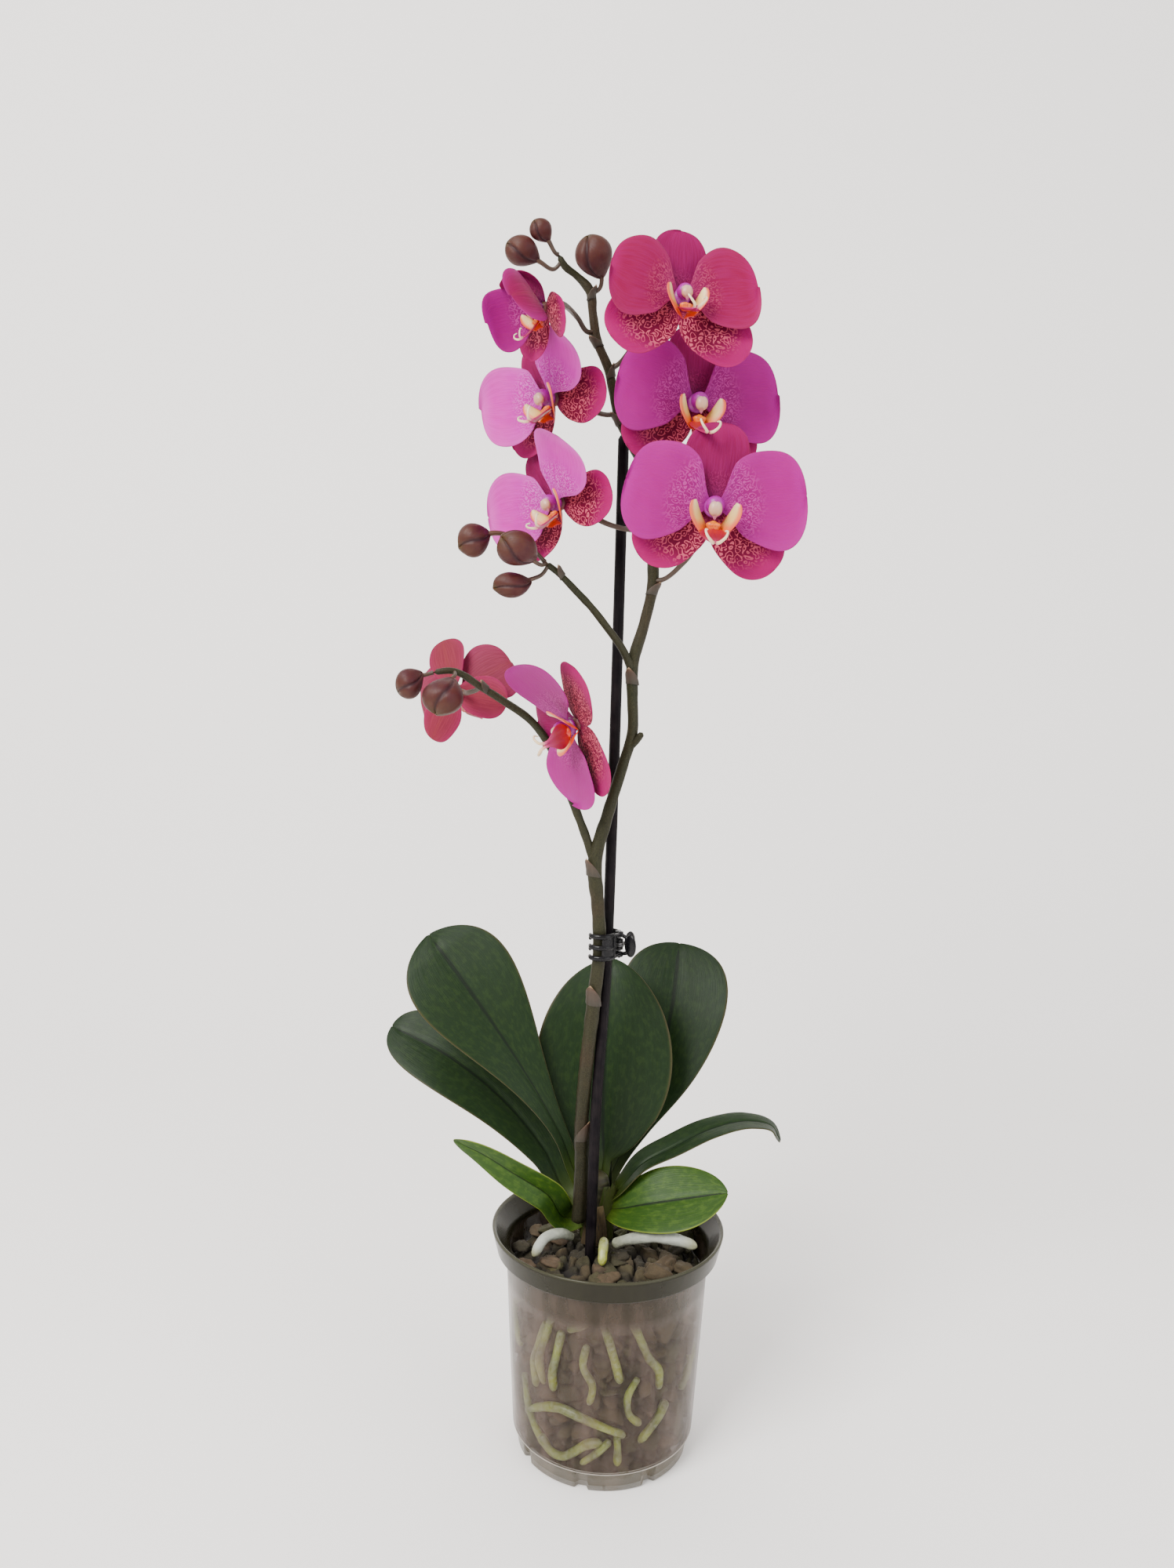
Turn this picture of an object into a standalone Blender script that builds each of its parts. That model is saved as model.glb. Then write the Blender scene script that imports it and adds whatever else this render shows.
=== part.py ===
# Potted moth orchid: a clear nursery pot with bark and roots, seven strap leaves,
# a branching flower spike tied to a stake by a hinged clip, eight flowers and eight buds.
# Lengths in the tables are millimetres and are scaled to metres on use.
# The pot's axis is Z, its floor is z = 0, and the flowers face -Y.

import math

import bmesh
import bpy
import numpy as np
from mathutils import Matrix, Vector

MM = 0.001
GAP = 0.4

POT_HEIGHT = 117.5
RIM_RADIUS = 60.0
SKIRT_RADIUS = 57.4
SKIRT_DEPTH = 11.5
COLLAR_HEIGHT = 108.5
WALL_TOP_RADIUS = 52.6
STEP_HEIGHT = 10.7
STEP_RADIUS = 47.2
FOOT_RADIUS = 44.3
WALL = 1.0
NOTCH_COUNT = 8
NOTCH_RADIUS = 4.0

MEDIUM_TOP = 99.0
MEDIUM_CLEARANCE = 6.9
ROOT_RADIUS = 2.0
# where each loose chunk lies, its length, and its turn in degrees
BARK_CHUNKS = [((-30.0, 14.0), 17.0, 30.0), ((24.0, -26.0), 17.0, 150.0)]

STAKE_RADIUS = 2.75
STAKE_DEPTH = 45.0
STAKE_ROUTE = [(-9.0, -10.0, 99.0), (-7.9, -8.0, 182.0), (-4.8, -4.9, 252.0), (-3.9, -2.4, 324.0),
               (-3.6, 0.2, 395.0), (-3.5, 2.6, 480.0), (-3.5, 4.0, 520.0)]

SPIKE_ROUTE = [(-15.5, -3.0, 118.0, 3.6), (-14.5, -2.0, 147.0, 3.6), (-15.0, -3.0, 166.5, 3.7),
               (-13.6, -8.0, 203.0, 3.5), (-10.5, -11.0, 240.5, 3.4), (-8.5, -12.0, 269.0, 3.3),
               (-10.0, -11.5, 289.0, 3.3), (-12.0, -10.5, 309.0, 3.6), (-6.5, -10.5, 333.0, 2.9),
               (0.5, -10.5, 358.5, 2.7), (4.5, -11.0, 374.0, 2.7), (4.0, -12.0, 391.0, 2.6),
               (3.5, -13.0, 406.5, 3.0), (8.5, -14.0, 427.0, 2.6), (12.0, -15.0, 446.0, 2.8),
               (11.0, -15.0, 462.5, 2.5), (9.0, -14.0, 484.5, 2.4), (5.5, -13.0, 501.0, 2.4),
               (-1.0, -11.0, 513.0, 2.3), (-6.0, -10.0, 523.0, 2.5), (-9.0, -11.0, 533.5, 2.2),
               (-12.0, -12.0, 545.5, 2.2), (-17.5, -13.0, 557.5, 2.2), (-20.0, -14.0, 570.0, 2.1),
               (-21.5, -15.0, 579.5, 2.3), (-28.0, -16.0, 586.0, 1.7), (-33.5, -18.0, 589.5, 1.7)]
LOWER_BRANCH = [(-11.5, -10.5, 307.0, 2.2), (-17.5, -10.0, 324.0, 2.1), (-22.5, -8.0, 336.0, 2.1),
                (-29.0, -4.0, 351.0, 2.1), (-36.5, 0.0, 366.5, 2.0), (-44.5, 0.0, 377.0, 2.0),
                (-59.5, -6.0, 388.0, 1.9), (-69.0, -10.0, 394.0, 1.8), (-84.0, -15.0, 402.0, 1.6),
                (-92.0, -16.0, 401.0, 1.4)]
MIDDLE_BRANCH = [(3.5, -13.5, 404.5, 2.2), (-2.0, -19.0, 415.0, 1.9), (-9.0, -23.0, 424.0, 1.8),
                 (-16.5, -25.0, 433.0, 1.8), (-24.5, -27.0, 441.0, 1.7), (-33.0, -29.0, 449.0, 1.5),
                 (-38.5, -30.0, 453.0, 1.4)]

# name: centre, (width, height, depth), pedicel from the branch to the bud
BUDS = {
    "bud_1": ((-44.5, -24.0, 603.2), (10.5, 10.0, 10.0), [(-37.0, -20.0, 594.0), (-41.0, -22.0, 599.0)]),
    "bud_2": ((-53.3, -22.0, 594.4), (15.1, 13.6, 13.6), [(-38.5, -18.0, 588.0), (-45.0, -20.0, 590.5)]),
    "bud_3": ((-19.9, -20.0, 594.0), (17.6, 17.6, 16.0), [(-17.2, -15.4, 580.6), (-16.4, -17.5, 585.5)]),
    "bud_4": ((-51.5, -42.0, 458.9), (18.5, 16.5, 15.0), [(-40.5, -33.5, 452.0), (-44.0, -37.5, 453.5)]),
    "bud_5": ((-72.0, -37.0, 462.0), (14.5, 15.8, 13.5), [(-43.5, -28.5, 458.0), (-56.0, -30.0, 465.5),
                                                      (-65.0, -34.0, 465.5)]),
    "bud_6": ((-54.5, -34.0, 442.5), (17.0, 12.0, 12.0), [(-40.5, -29.0, 448.0), (-45.5, -31.0, 445.5)]),
    "bud_7": ((-86.0, -25.5, 389.5), (20.0, 17.5, 16.0), [(-81.5, -19.0, 400.0), (-83.0, -22.5, 397.5)]),
    "bud_8": ((-103.4, -18.0, 395.4), (13.0, 15.0, 13.0), [(-95.0, -16.5, 400.0), (-98.5, -17.5, 399.0)]),
}

# Tepal: angle from +X, length, width, lean forward, curl, cup, fullness towards base and tip, offset
SEPALS = {
    "dorsal": (90.0, 36.0, 28.0, -0.06, 0.0, 0.5, 0.75, 0.75, 0.42, -0.3),
    "left": (214.0, 37.0, 28.0, -0.04, 0.5, 0.4, 0.52, 0.52, 0.42, 0.0),
    "right": (322.0, 37.0, 28.0, -0.02, 0.5, 0.4, 0.52, 0.52, 0.42, 0.3),
}
PETALS = {
    "left": (168.0, 39.0, 43.0, 0.06, -2.0, 1.5, 0.42, 0.80, 0.40, -0.15),
    "right": (12.0, 39.0, 43.0, 0.06, -2.0, 1.5, 0.42, 0.80, 0.40, 0.15),
}
TEPAL_THICKNESS = 1.0
TEPAL_START = 1.5
WHORL_OFFSET = 2.2
LIP_OFFSET = 3.0

# name: hub, turn about Z, nod, roll, size, spread of the tepals forward,
# extra forward curl of the dorsal sepal, left petal and right petal, pedicel to the hub's back
FLOWERS = {
    "flower_1": ((17.7, -60.0, 564.3), 14.0, -12.0, 3.0, 0.83, 0.10, (0.0, 0.0, 0.0),
                 [(-8.6, -13.2, 546.5), (0.0, -22.0, 555.0), (12.0, -42.0, 562.0)]),
    "flower_2": ((27.6, -36.0, 525.5), 12.0, 0.0, 3.0, 0.95, 0.0, (0.0, 0.0, 0.0),
                 [(9.0, -14.0, 501.0), (17.0, -14.0, 512.0), (24.0, -20.0, 523.0)]),
    "flower_3": ((35.3, -58.0, 477.0), 0.0, 0.0, 4.0, 1.0, 0.0, (0.0, 0.0, 0.0),
                 [(15.4, -17.0, 447.5), (26.0, -24.0, 456.0), (33.5, -38.0, 471.0)]),
    "flower_4": ((-42.5, -51.0, 561.5), -58.0, 14.0, -8.0, 0.68, 0.24, (14.0, 15.0, 15.0),
                 [(-21.9, -14.4, 561.3), (-27.0, -18.0, 566.5), (-34.0, -36.0, 567.5)]),
    "flower_5": ((-38.0, -24.0, 528.5), -48.0, 2.0, -30.0, 0.92, 0.04, (0.0, 9.0, 9.0),
                 [(-10.4, -10.6, 524.7), (-18.0, -9.5, 526.0), (-28.0, -13.0, 529.0)]),
    "flower_6": ((-34.0, -22.0, 481.5), -48.0, 2.0, -34.0, 0.92, 0.04, (0.0, 9.0, 9.0),
                 [(7.0, -13.5, 470.5), (-10.0, -9.0, 474.0), (-24.0, -11.0, 480.0)]),
    "flower_7": ((-21.0, -27.0, 377.0), -74.0, 18.0, -90.0, 0.95, 0.14, (0.0, -2.0, 12.0),
                 [(-31.0, 1.4, 360.5), (-25.0, 3.8, 360.5), (-13.5, -6.0, 367.0)]),
    "flower_8": ((-81.5, 15.0, 391.5), 157.0, 7.0, 24.0, 0.82, 0.12, (3.0, 8.0, 8.0),
                 [(-72.0, -8.0, 393.0), (-76.0, -4.0, 391.5), (-80.0, 6.0, 391.0)]),
}

# name: midline from base to tip, width, fullness towards base and tip, upper face at base and tip, fold
LEAVES = {
    "leaf_upper_left": (
        [(-17.5, 8.0, 140.0), (-25.0, 6.0, 160.0), (-37.0, 6.0, 182.0), (-54.0, 10.0, 207.0),
         (-77.0, 19.0, 236.0), (-99.0, 30.0, 261.0)],
        56.0, (0.85, 0.40), (0.3, -1.0, 0.3), (0.1, -1.0, 0.5), 0.25),
    "leaf_left_back": (
        [(-19.5, 18.0, 122.0), (-34.0, 27.0, 143.0), (-58.0, 38.0, 167.0), (-90.0, 48.0, 188.0),
         (-123.0, 58.0, 201.0)],
        42.0, (0.65, 0.40), (0.4, -0.8, 0.6), (0.0, -0.9, 0.8), 0.30),
    "leaf_left_low": (
        [(-19.5, 7.0, 116.0), (-32.0, -8.0, 136.0), (-49.0, -15.0, 150.0), (-66.0, -18.0, 162.0),
         (-79.0, -18.0, 168.0)],
        19.0, (0.45, 0.45), (0.5, -0.7, 0.4), (-0.3, -0.9, -0.3), 0.40),
    "leaf_centre": (
        [(-3.0, 15.0, 145.0), (-4.0, 17.5, 166.0), (-4.0, 22.0, 197.0), (-2.5, 30.0, 227.0),
         (-0.5, 39.0, 248.0)],
        72.0, (0.60, 0.62), (0.0, -1.0, 0.2), (0.0, -1.0, 0.45), 0.18),
    "leaf_right_back": (
        [(3.0, 24.0, 136.0), (14.0, 34.0, 158.0), (27.0, 46.0, 187.0), (34.0, 56.0, 218.0),
         (38.0, 70.0, 250.0)],
        60.0, (0.80, 0.38), (-0.3, -1.0, 0.3), (-0.1, -1.0, 0.6), 0.22),
    "leaf_right_long": (
        [(5.5, 9.0, 131.0), (18.0, 9.0, 146.0), (33.0, 11.0, 154.0), (54.0, 16.0, 163.0),
         (74.0, 20.0, 166.0), (87.0, 23.0, 162.0), (92.0, 24.0, 154.0)],
        17.0, (0.45, 0.38), (-0.6, -0.3, 0.8), (0.1, -0.25, 1.0), 0.30),
    "leaf_right_low": (
        [(6.5, 1.0, 125.0), (19.0, -5.0, 130.5), (36.0, -9.0, 135.5), (51.0, -12.0, 139.5),
         (60.0, -14.0, 142.0)],
        36.0, (0.80, 0.36), (-0.5, -0.6, 0.8), (0.0, -0.6, 0.8), 0.20),
}
LEAF_CLAW = 8.0
LEAF_THICKNESS = 1.6
LEAF_COLOURS = {"leaf_left_low": (0.09, 0.16, 0.04), "leaf_right_low": (0.08, 0.13, 0.05)}

TOP_ROOTS = {
    "aerial_root_right": (
        [(3.0, -8.0, 110.0), (11.0, -13.0, 115.5), (25.0, -17.0, 119.0), (36.0, -20.0, 119.0),
         (44.5, -23.0, 117.5)],
        2.9, (0.5, 0.52, 0.48)),
    "aerial_root_left": (
        [(-18.0, 2.0, 108.0), (-25.0, -4.0, 113.0), (-32.0, -9.0, 113.0), (-38.0, -16.0, 106.5)],
        2.6, (0.32, 0.33, 0.30)),
    "aerial_root_tip": (
        [(-2.0, -7.0, 107.5), (-2.0, -12.0, 113.0), (-2.5, -18.0, 112.0), (-3.0, -22.5, 106.0)],
        2.6, (0.42, 0.44, 0.12)),
}

# Roots that climb the inside of the wall: (degrees round from the front, height)
WALL_ROOTS = {
    "wall_root_1": [(-34, 90), (-41, 74), (-46, 59), (-42, 49)],
    "wall_root_2": [(-28, 82), (-32, 68), (-35, 56), (-34, 48)],
    "wall_root_3": [(-24, 84), (-15, 88), (-6, 95), (-1, 86), (4, 73), (9, 58)],
    "wall_root_4": [(12, 94), (16, 88), (21, 79), (27, 69), (35, 60), (36, 50)],
    "wall_root_5": [(-62, 26), (-48, 34), (-30, 40), (-14, 38), (0, 34), (14, 29)],
    "wall_root_6": [(-46, 20), (-37, 14), (-28, 14), (-19, 19), (-11, 24), (-1, 26)],
    "wall_root_7": [(43, 42), (38, 35), (30, 29), (23, 24)],
}

CLIP_HEIGHT = 268.0
CLIP_PIVOT = (1.4, -8.0)
CLIP_FINGER_RADIUS = 1.1
CLIP_PIN_RADIUS = 0.8
CLIP_KNUCKLE_RADIUS = 1.9
CLIP_FRONT_ROUTE = [(-1.6, -13.6), (-5.0, -16.9), (-9.2, -17.3), (-12.8, -15.0), (-13.4, -11.6)]
CLIP_BACK_ROUTE = [(0.6, -1.2), (-4.0, 1.7), (-9.0, -0.6), (-12.6, -5.6), (-13.5, -8.6)]
CLIP_FRONT_FINGERS = (-6.5, 0.0, 6.5)
CLIP_BACK_FINGERS = (-3.2, 3.2)
CLIP_HANDLE_TURN = 38.0
CLIP_HANDLE_SKEW = 0.06
CLIP_HANDLE_REACH = 6.8
CLIP_HANDLE_SIZE = (6.0, 1.9, 10.0)
CLIP_FRONT_KNUCKLES = [(-6.6, 3.0), (3.6, 3.0)]
CLIP_BACK_KNUCKLES = [(-3.2, 6.4)]
CLIP_PIN_HALF = 7.4
SHARP_ANGLE = math.radians(40.0)


def clear_scene():
    for item in list(bpy.data.objects):
        bpy.data.objects.remove(item)


def new_collection(name):
    collection = bpy.data.collections.new(name)
    bpy.context.scene.collection.children.link(collection)
    return collection


def new_material(name, colour, roughness):
    material = bpy.data.materials.new(name)
    material.use_nodes = True
    shader = material.node_tree.nodes["Principled BSDF"]
    shader.inputs["Base Color"].default_value = (*colour, 1.0)
    shader.inputs["Roughness"].default_value = roughness
    shader.inputs["Metallic"].default_value = 0.0
    return material


def new_object(name, mesh, collection):
    item = bpy.data.objects.new(name, mesh)
    collection.objects.link(item)
    return item


def paint(item, colour, roughness):
    """Give the piece its own material and smooth shading that stops at sharp edges."""
    item.data.polygons.foreach_set("use_smooth", [True] * len(item.data.polygons))
    item.data.set_sharp_from_angle(angle=SHARP_ANGLE)
    item.data.materials.clear()
    item.data.materials.append(new_material(item.name, colour, roughness))


def evaluated_mesh(item):
    """The object's mesh after its modifiers, with coincident points welded."""
    bpy.context.view_layer.update()
    graph = bpy.context.evaluated_depsgraph_get()
    mesh = bpy.data.meshes.new_from_object(item.evaluated_get(graph))
    shell = bmesh.new()
    shell.from_mesh(mesh)
    bmesh.ops.remove_doubles(shell, verts=shell.verts, dist=0.0000005)
    bmesh.ops.recalc_face_normals(shell, faces=shell.faces)
    shell.to_mesh(mesh)
    shell.free()
    return mesh


def bake(item):
    """Replace an object by a plain mesh object of what it evaluates to."""
    name = item.name
    collection = item.users_collection[0]
    placed = item.matrix_world.copy()
    mesh = evaluated_mesh(item)
    bpy.data.objects.remove(item)
    fresh = new_object(name, mesh, collection)
    fresh.matrix_world = placed
    return fresh


def smooth_route(knots, count):
    """Evenly spaced points on a smooth curve through the knots, each row taken as a whole."""
    knots = np.array(knots, dtype=float)
    run = np.linalg.norm(np.diff(knots[:, :3], axis=0), axis=1)
    along = np.concatenate(([0.0], np.cumsum(run)))
    slope = np.gradient(knots, along, axis=0)
    where = np.linspace(0.0, along[-1], count)
    cell = np.clip(np.searchsorted(along, where, side="right") - 1, 0, len(run) - 1)
    t = ((where - along[cell]) / run[cell])[:, None]
    reach = run[cell][:, None]
    start = (1 + 2 * t) * (1 - t) ** 2 * knots[cell] + t * (1 - t) ** 2 * reach * slope[cell]
    end = t ** 2 * (3 - 2 * t) * knots[cell + 1] + t ** 2 * (t - 1) * reach * slope[cell + 1]
    return start + end


def tube(name, knots, radius, count, collection, blunt=0.7):
    """A round stem along a smooth route; a knot may carry its own radius as a fourth value."""
    knots = [knot if len(knot) == 4 else (*knot, radius) for knot in knots]
    points = smooth_route(knots, count)
    curve = bpy.data.curves.new(name, "CURVE")
    curve.dimensions = "3D"
    curve.bevel_depth = MM
    curve.bevel_resolution = 2
    curve.use_fill_caps = True
    curve.render_resolution_u = 0
    spline = curve.splines.new("POLY")
    spline.points.add(count - 1)
    for point, row in zip(spline.points, points):
        point.co = (row[0] * MM, row[1] * MM, row[2] * MM, 1.0)
        point.radius = row[3]
    spline.points[count - 1].radius *= blunt
    return bake(new_object(name, curve, collection))


def ellipsoid(name, centre, size, collection, turn=None, segments=10, rings=6):
    """A UV sphere stretched to (width, depth, height) and turned about its centre."""
    mesh = bpy.data.meshes.new(name)
    shell = bmesh.new()
    bmesh.ops.create_uvsphere(shell, u_segments=segments, v_segments=rings, radius=0.5)
    spin = turn or Matrix.Identity(4)
    place = Matrix.Translation(Vector(centre) * MM) @ spin @ Matrix.Diagonal((*(s * MM for s in size), 1.0))
    bmesh.ops.transform(shell, matrix=place, verts=shell.verts)
    shell.to_mesh(mesh)
    shell.free()
    return new_object(name, mesh, collection)


def sheet(name, across, along, shape, thickness, collection):
    """A grid bent by shape(u along, v across) and thickened to a closed leaf or tepal."""
    mesh = bpy.data.meshes.new(name)
    shell = bmesh.new()
    bmesh.ops.create_grid(shell, x_segments=across, y_segments=along, size=1.0)
    for vert in shell.verts:
        u = 0.5 - 0.5 * math.cos(math.pi * (vert.co.y + 1.0) / 2.0)
        vert.co = Vector(shape(u, vert.co.x)) * MM
    shell.to_mesh(mesh)
    shell.free()
    item = new_object(name, mesh, collection)
    solid = item.modifiers.new("Solidify", "SOLIDIFY")
    solid.thickness = thickness * MM
    solid.offset = 0.0
    return bake(item)


def keep_outer_shell(mesh):
    """Drop small pockets that joined pieces close in between them."""
    shell = bmesh.new()
    shell.from_mesh(mesh)
    groups = []
    waiting = set(shell.faces)
    while waiting:
        group = {waiting.pop()}
        edge = list(group)
        while edge:
            near = {other for line in edge.pop().edges for other in line.link_faces} - group
            group |= near
            edge.extend(near)
        waiting -= group
        groups.append(group)
    outer = max(groups, key=len)
    inner = [face for group in groups if group is not outer for face in group]
    bmesh.ops.delete(shell, geom=inner, context="FACES")
    shell.to_mesh(mesh)
    shell.free()


def fuse(name, pieces):
    """One closed body from overlapping solids."""
    body = pieces[0]
    for other in pieces[1:]:
        union = body.modifiers.new("Union", "BOOLEAN")
        union.operation = "UNION"
        union.solver = "EXACT"
        union.object = other
    body = bake(body)
    for other in pieces[1:]:
        bpy.data.objects.remove(other)
    keep_outer_shell(body.data)
    body.name = name
    return body


def cut(body, cutter):
    difference = body.modifiers.new("Cut", "BOOLEAN")
    difference.operation = "DIFFERENCE"
    difference.solver = "EXACT"
    difference.object = cutter


def cutter_cylinder(name, radius, depth, location, cutters, direction=(0.0, 0.0, 1.0)):
    bpy.ops.mesh.primitive_cylinder_add(vertices=16, radius=radius * MM, depth=depth * MM)
    item = bpy.context.active_object
    item.name = name
    item.location = Vector(location) * MM
    item.rotation_euler = Vector((0.0, 0.0, 1.0)).rotation_difference(Vector(direction)).to_euler()
    for collection in item.users_collection:
        collection.objects.unlink(item)
    cutters.objects.link(item)
    item.hide_render = True
    item.display_type = "WIRE"
    return item


def blade_width(u, base, tip, claw=0.22, end=0.05):
    """Share of the full width at u: u^base * (1-u)^tip scaled to 1, never thinner than the claw."""
    peak = base / (base + tip)
    top = peak ** base * (1.0 - peak) ** tip
    body = u ** base * (1.0 - u) ** tip / top
    return max(body, claw * (1.0 - u) + end * u)


def wall_radius(height):
    """Outer radius of the pot's wall at a height."""
    share = (height - STEP_HEIGHT) / (COLLAR_HEIGHT - STEP_HEIGHT)
    return STEP_RADIUS + share * (WALL_TOP_RADIUS - STEP_RADIUS)


def turned(name, outline, steps, collection):
    """A closed outline in the X-Z plane turned about Z."""
    mesh = bpy.data.meshes.new(name)
    mesh.from_pydata([(r * MM, 0.0, z * MM) for r, z in outline],
                     [(i, i + 1) for i in range(len(outline) - 1)], [])
    item = new_object(name, mesh, collection)
    screw = item.modifiers.new("Screw", "SCREW")
    screw.steps = steps
    screw.render_steps = steps
    screw.use_merge_vertices = True
    screw.merge_threshold = 0.00001
    screw.use_smooth_shade = True
    return item


def build_pot(parts, cutters):
    skirt_bottom = POT_HEIGHT - SKIRT_DEPTH
    outline = [(0.0, WALL + 0.4), (FOOT_RADIUS - WALL, WALL + 0.4), (STEP_RADIUS - 2.2, STEP_HEIGHT - 0.4),
               (STEP_RADIUS - WALL, STEP_HEIGHT + 0.8), (WALL_TOP_RADIUS - WALL - 0.4, COLLAR_HEIGHT + 0.6),
               (RIM_RADIUS - 1.2, POT_HEIGHT), (RIM_RADIUS, POT_HEIGHT - 0.3),
               (SKIRT_RADIUS, skirt_bottom), (SKIRT_RADIUS - WALL, skirt_bottom),
               (RIM_RADIUS - 1.5, POT_HEIGHT - 2.2), (WALL_TOP_RADIUS, COLLAR_HEIGHT - 0.6),
               (STEP_RADIUS, STEP_HEIGHT), (STEP_RADIUS - 1.4, STEP_HEIGHT - 1.0),
               (FOOT_RADIUS, 0.0), (0.0, 0.0)]
    pot = turned("nursery_pot", outline, 40, parts)
    pot = bake(pot)
    for index in range(NOTCH_COUNT):
        turn = 2.0 * math.pi * (index + 0.6) / NOTCH_COUNT
        place = (FOOT_RADIUS * math.cos(turn), FOOT_RADIUS * math.sin(turn), 2.0)
        cut(pot, cutter_cylinder(f"notch_{index + 1}", NOTCH_RADIUS, 10.0, place, cutters))
    pot = bake(pot)
    paint(pot, (0.20, 0.19, 0.14), 0.35)


def build_medium(parts, cutters):
    inner = MEDIUM_CLEARANCE
    profile = [(0.0, MEDIUM_TOP + 3.0), (14.0, MEDIUM_TOP + 2.6),
               (32.0, MEDIUM_TOP), (40.0, MEDIUM_TOP - 3.0),
               (wall_radius(90.0) - inner, 90.0), (STEP_RADIUS - inner, STEP_HEIGHT + 2.0),
               (FOOT_RADIUS - inner, 2.0), (0.0, 2.0)]
    medium = turned("growing_medium", profile, 20, parts)
    medium = bake(medium)
    lean = Vector(STAKE_ROUTE[1]) - Vector(STAKE_ROUTE[0])
    foot = Vector(STAKE_ROUTE[0]) - lean.normalized() * (STAKE_DEPTH / 2.0 - 5.0)
    bore = cutter_cylinder("stake_bore", STAKE_RADIUS + GAP, STAKE_DEPTH + 12.0, foot, cutters, lean)
    cut(medium, bore)
    medium = bake(medium)
    paint(medium, (0.10, 0.07, 0.05), 0.9)


def build_bark(parts):
    """Loose chunks of bark lying on the medium, each a faceted lump of its own."""
    for index, (spot, length, turn) in enumerate(BARK_CHUNKS, start=1):
        spin = Matrix.Rotation(math.radians(turn), 4, "Z") @ Matrix.Rotation(math.radians(8.0), 4, "Y")
        height = MEDIUM_TOP + 8.6 - 0.055 * math.hypot(*spot)
        chunk = ellipsoid(f"bark_chunk_{index}", (*spot, height), (length, length * 0.6, 7.0),
                          parts, spin, segments=7, rings=5)
        paint(chunk, (0.13, 0.08, 0.05), 0.9)


def build_crown(parts):
    """The short stem that the leaves and roots grow from, standing on the bark."""
    crown = tube("plant_crown", [(-6.0, 9.0, 103.6, 7.5), (-6.0, 9.0, 112.0, 8.5), (-6.0, 9.5, 124.0, 7.5),
                                 (-5.5, 10.0, 136.0, 5.5), (-5.0, 10.0, 141.0, 3.5)], 8.0, 9, parts)
    paint(crown, (0.07, 0.06, 0.03), 0.7)

    def wrap(u, v):
        turn = 0.75 * v * (1.0 - 0.5 * u) - 0.08
        radius = 10.4 + 0.8 * u
        return -6.0 + radius * math.sin(turn), 9.0 - radius * math.cos(turn), 105.0 + 22.0 * u

    sheath = sheet("old_sheath", 4, 4, wrap, 0.7, parts)
    paint(sheath, (0.16, 0.09, 0.04), 0.8)


def build_stems(parts):
    main = tube("flower_spike", SPIKE_ROUTE, 3.0, 56, parts)
    lower = tube("lower_branch", LOWER_BRANCH, 2.0, 24, parts)
    middle = tube("middle_branch", MIDDLE_BRANCH, 1.8, 15, parts)
    spike = fuse("flower_spike", [main, lower, middle])
    paint(spike, (0.06, 0.05, 0.035), 0.5)
    lean = (Vector(STAKE_ROUTE[1]) - Vector(STAKE_ROUTE[0])).normalized()
    foot = Vector(STAKE_ROUTE[0]) - lean * STAKE_DEPTH
    stake = tube("support_stake", [tuple(foot), *STAKE_ROUTE], STAKE_RADIUS, 26, parts, blunt=0.8)
    paint(stake, (0.02, 0.015, 0.02), 0.4)


def build_leaf(name, parts):
    knots, width, (base, tip), base_face, tip_face, fold = LEAVES[name]
    route = smooth_route(knots, 41)
    slope = np.gradient(route, axis=0)

    def shape(u, v):
        index = min(int(round(u * 40)), 40)
        centre = Vector(route[index])
        tangent = Vector(slope[index]).normalized()
        face = Vector(base_face).lerp(Vector(tip_face), u)
        face = (face - tangent * face.dot(tangent)).normalized()
        side = tangent.cross(face)
        half = 0.5 * width * blade_width(u, base, tip, claw=LEAF_CLAW / width, end=0.12)
        rise = fold * half * (1.2 - u)
        return centre + side * (v * half) + face * (rise * abs(v) - 0.1 * rise)

    leaf = sheet(name, 4, 10, shape, LEAF_THICKNESS, parts)
    paint(leaf, LEAF_COLOURS.get(name, (0.035, 0.07, 0.028)), 0.45)


def flower_matrix(hub, turn, nod, roll):
    spin = Matrix.Rotation(math.radians(turn), 4, "Z") @ Matrix.Rotation(math.radians(nod), 4, "X")
    return Matrix.Translation(Vector(hub)) @ spin @ Matrix.Rotation(math.radians(roll), 4, "Y")


def build_tepal(name, spec, size, spread, extra, forward, place, parts):
    """One sepal or petal: a blade along its angle, leaning, curling and cupped towards the face."""
    angle, length, width, lean, curl, cup, shoulder, base, tip, offset = spec
    out = Vector((math.cos(math.radians(angle)), 0.0, math.sin(math.radians(angle))))
    side = Vector((-out.z, 0.0, out.x))
    slant = lean + spread
    curl += extra

    def shape(u, v):
        half = 0.5 * width * size * blade_width(u, shoulder if v * side.z > 0.0 else base, tip)
        reach = TEPAL_START + length * size * u * math.cos(slant)
        lift = forward + offset + size * (length * u * math.sin(slant) + curl * u * u + cup * v * v * u)
        return place @ (out * reach + side * (v * half) - Vector((0.0, lift, 0.0)))

    return sheet(name, 4, 5, shape, TEPAL_THICKNESS, parts)


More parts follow.
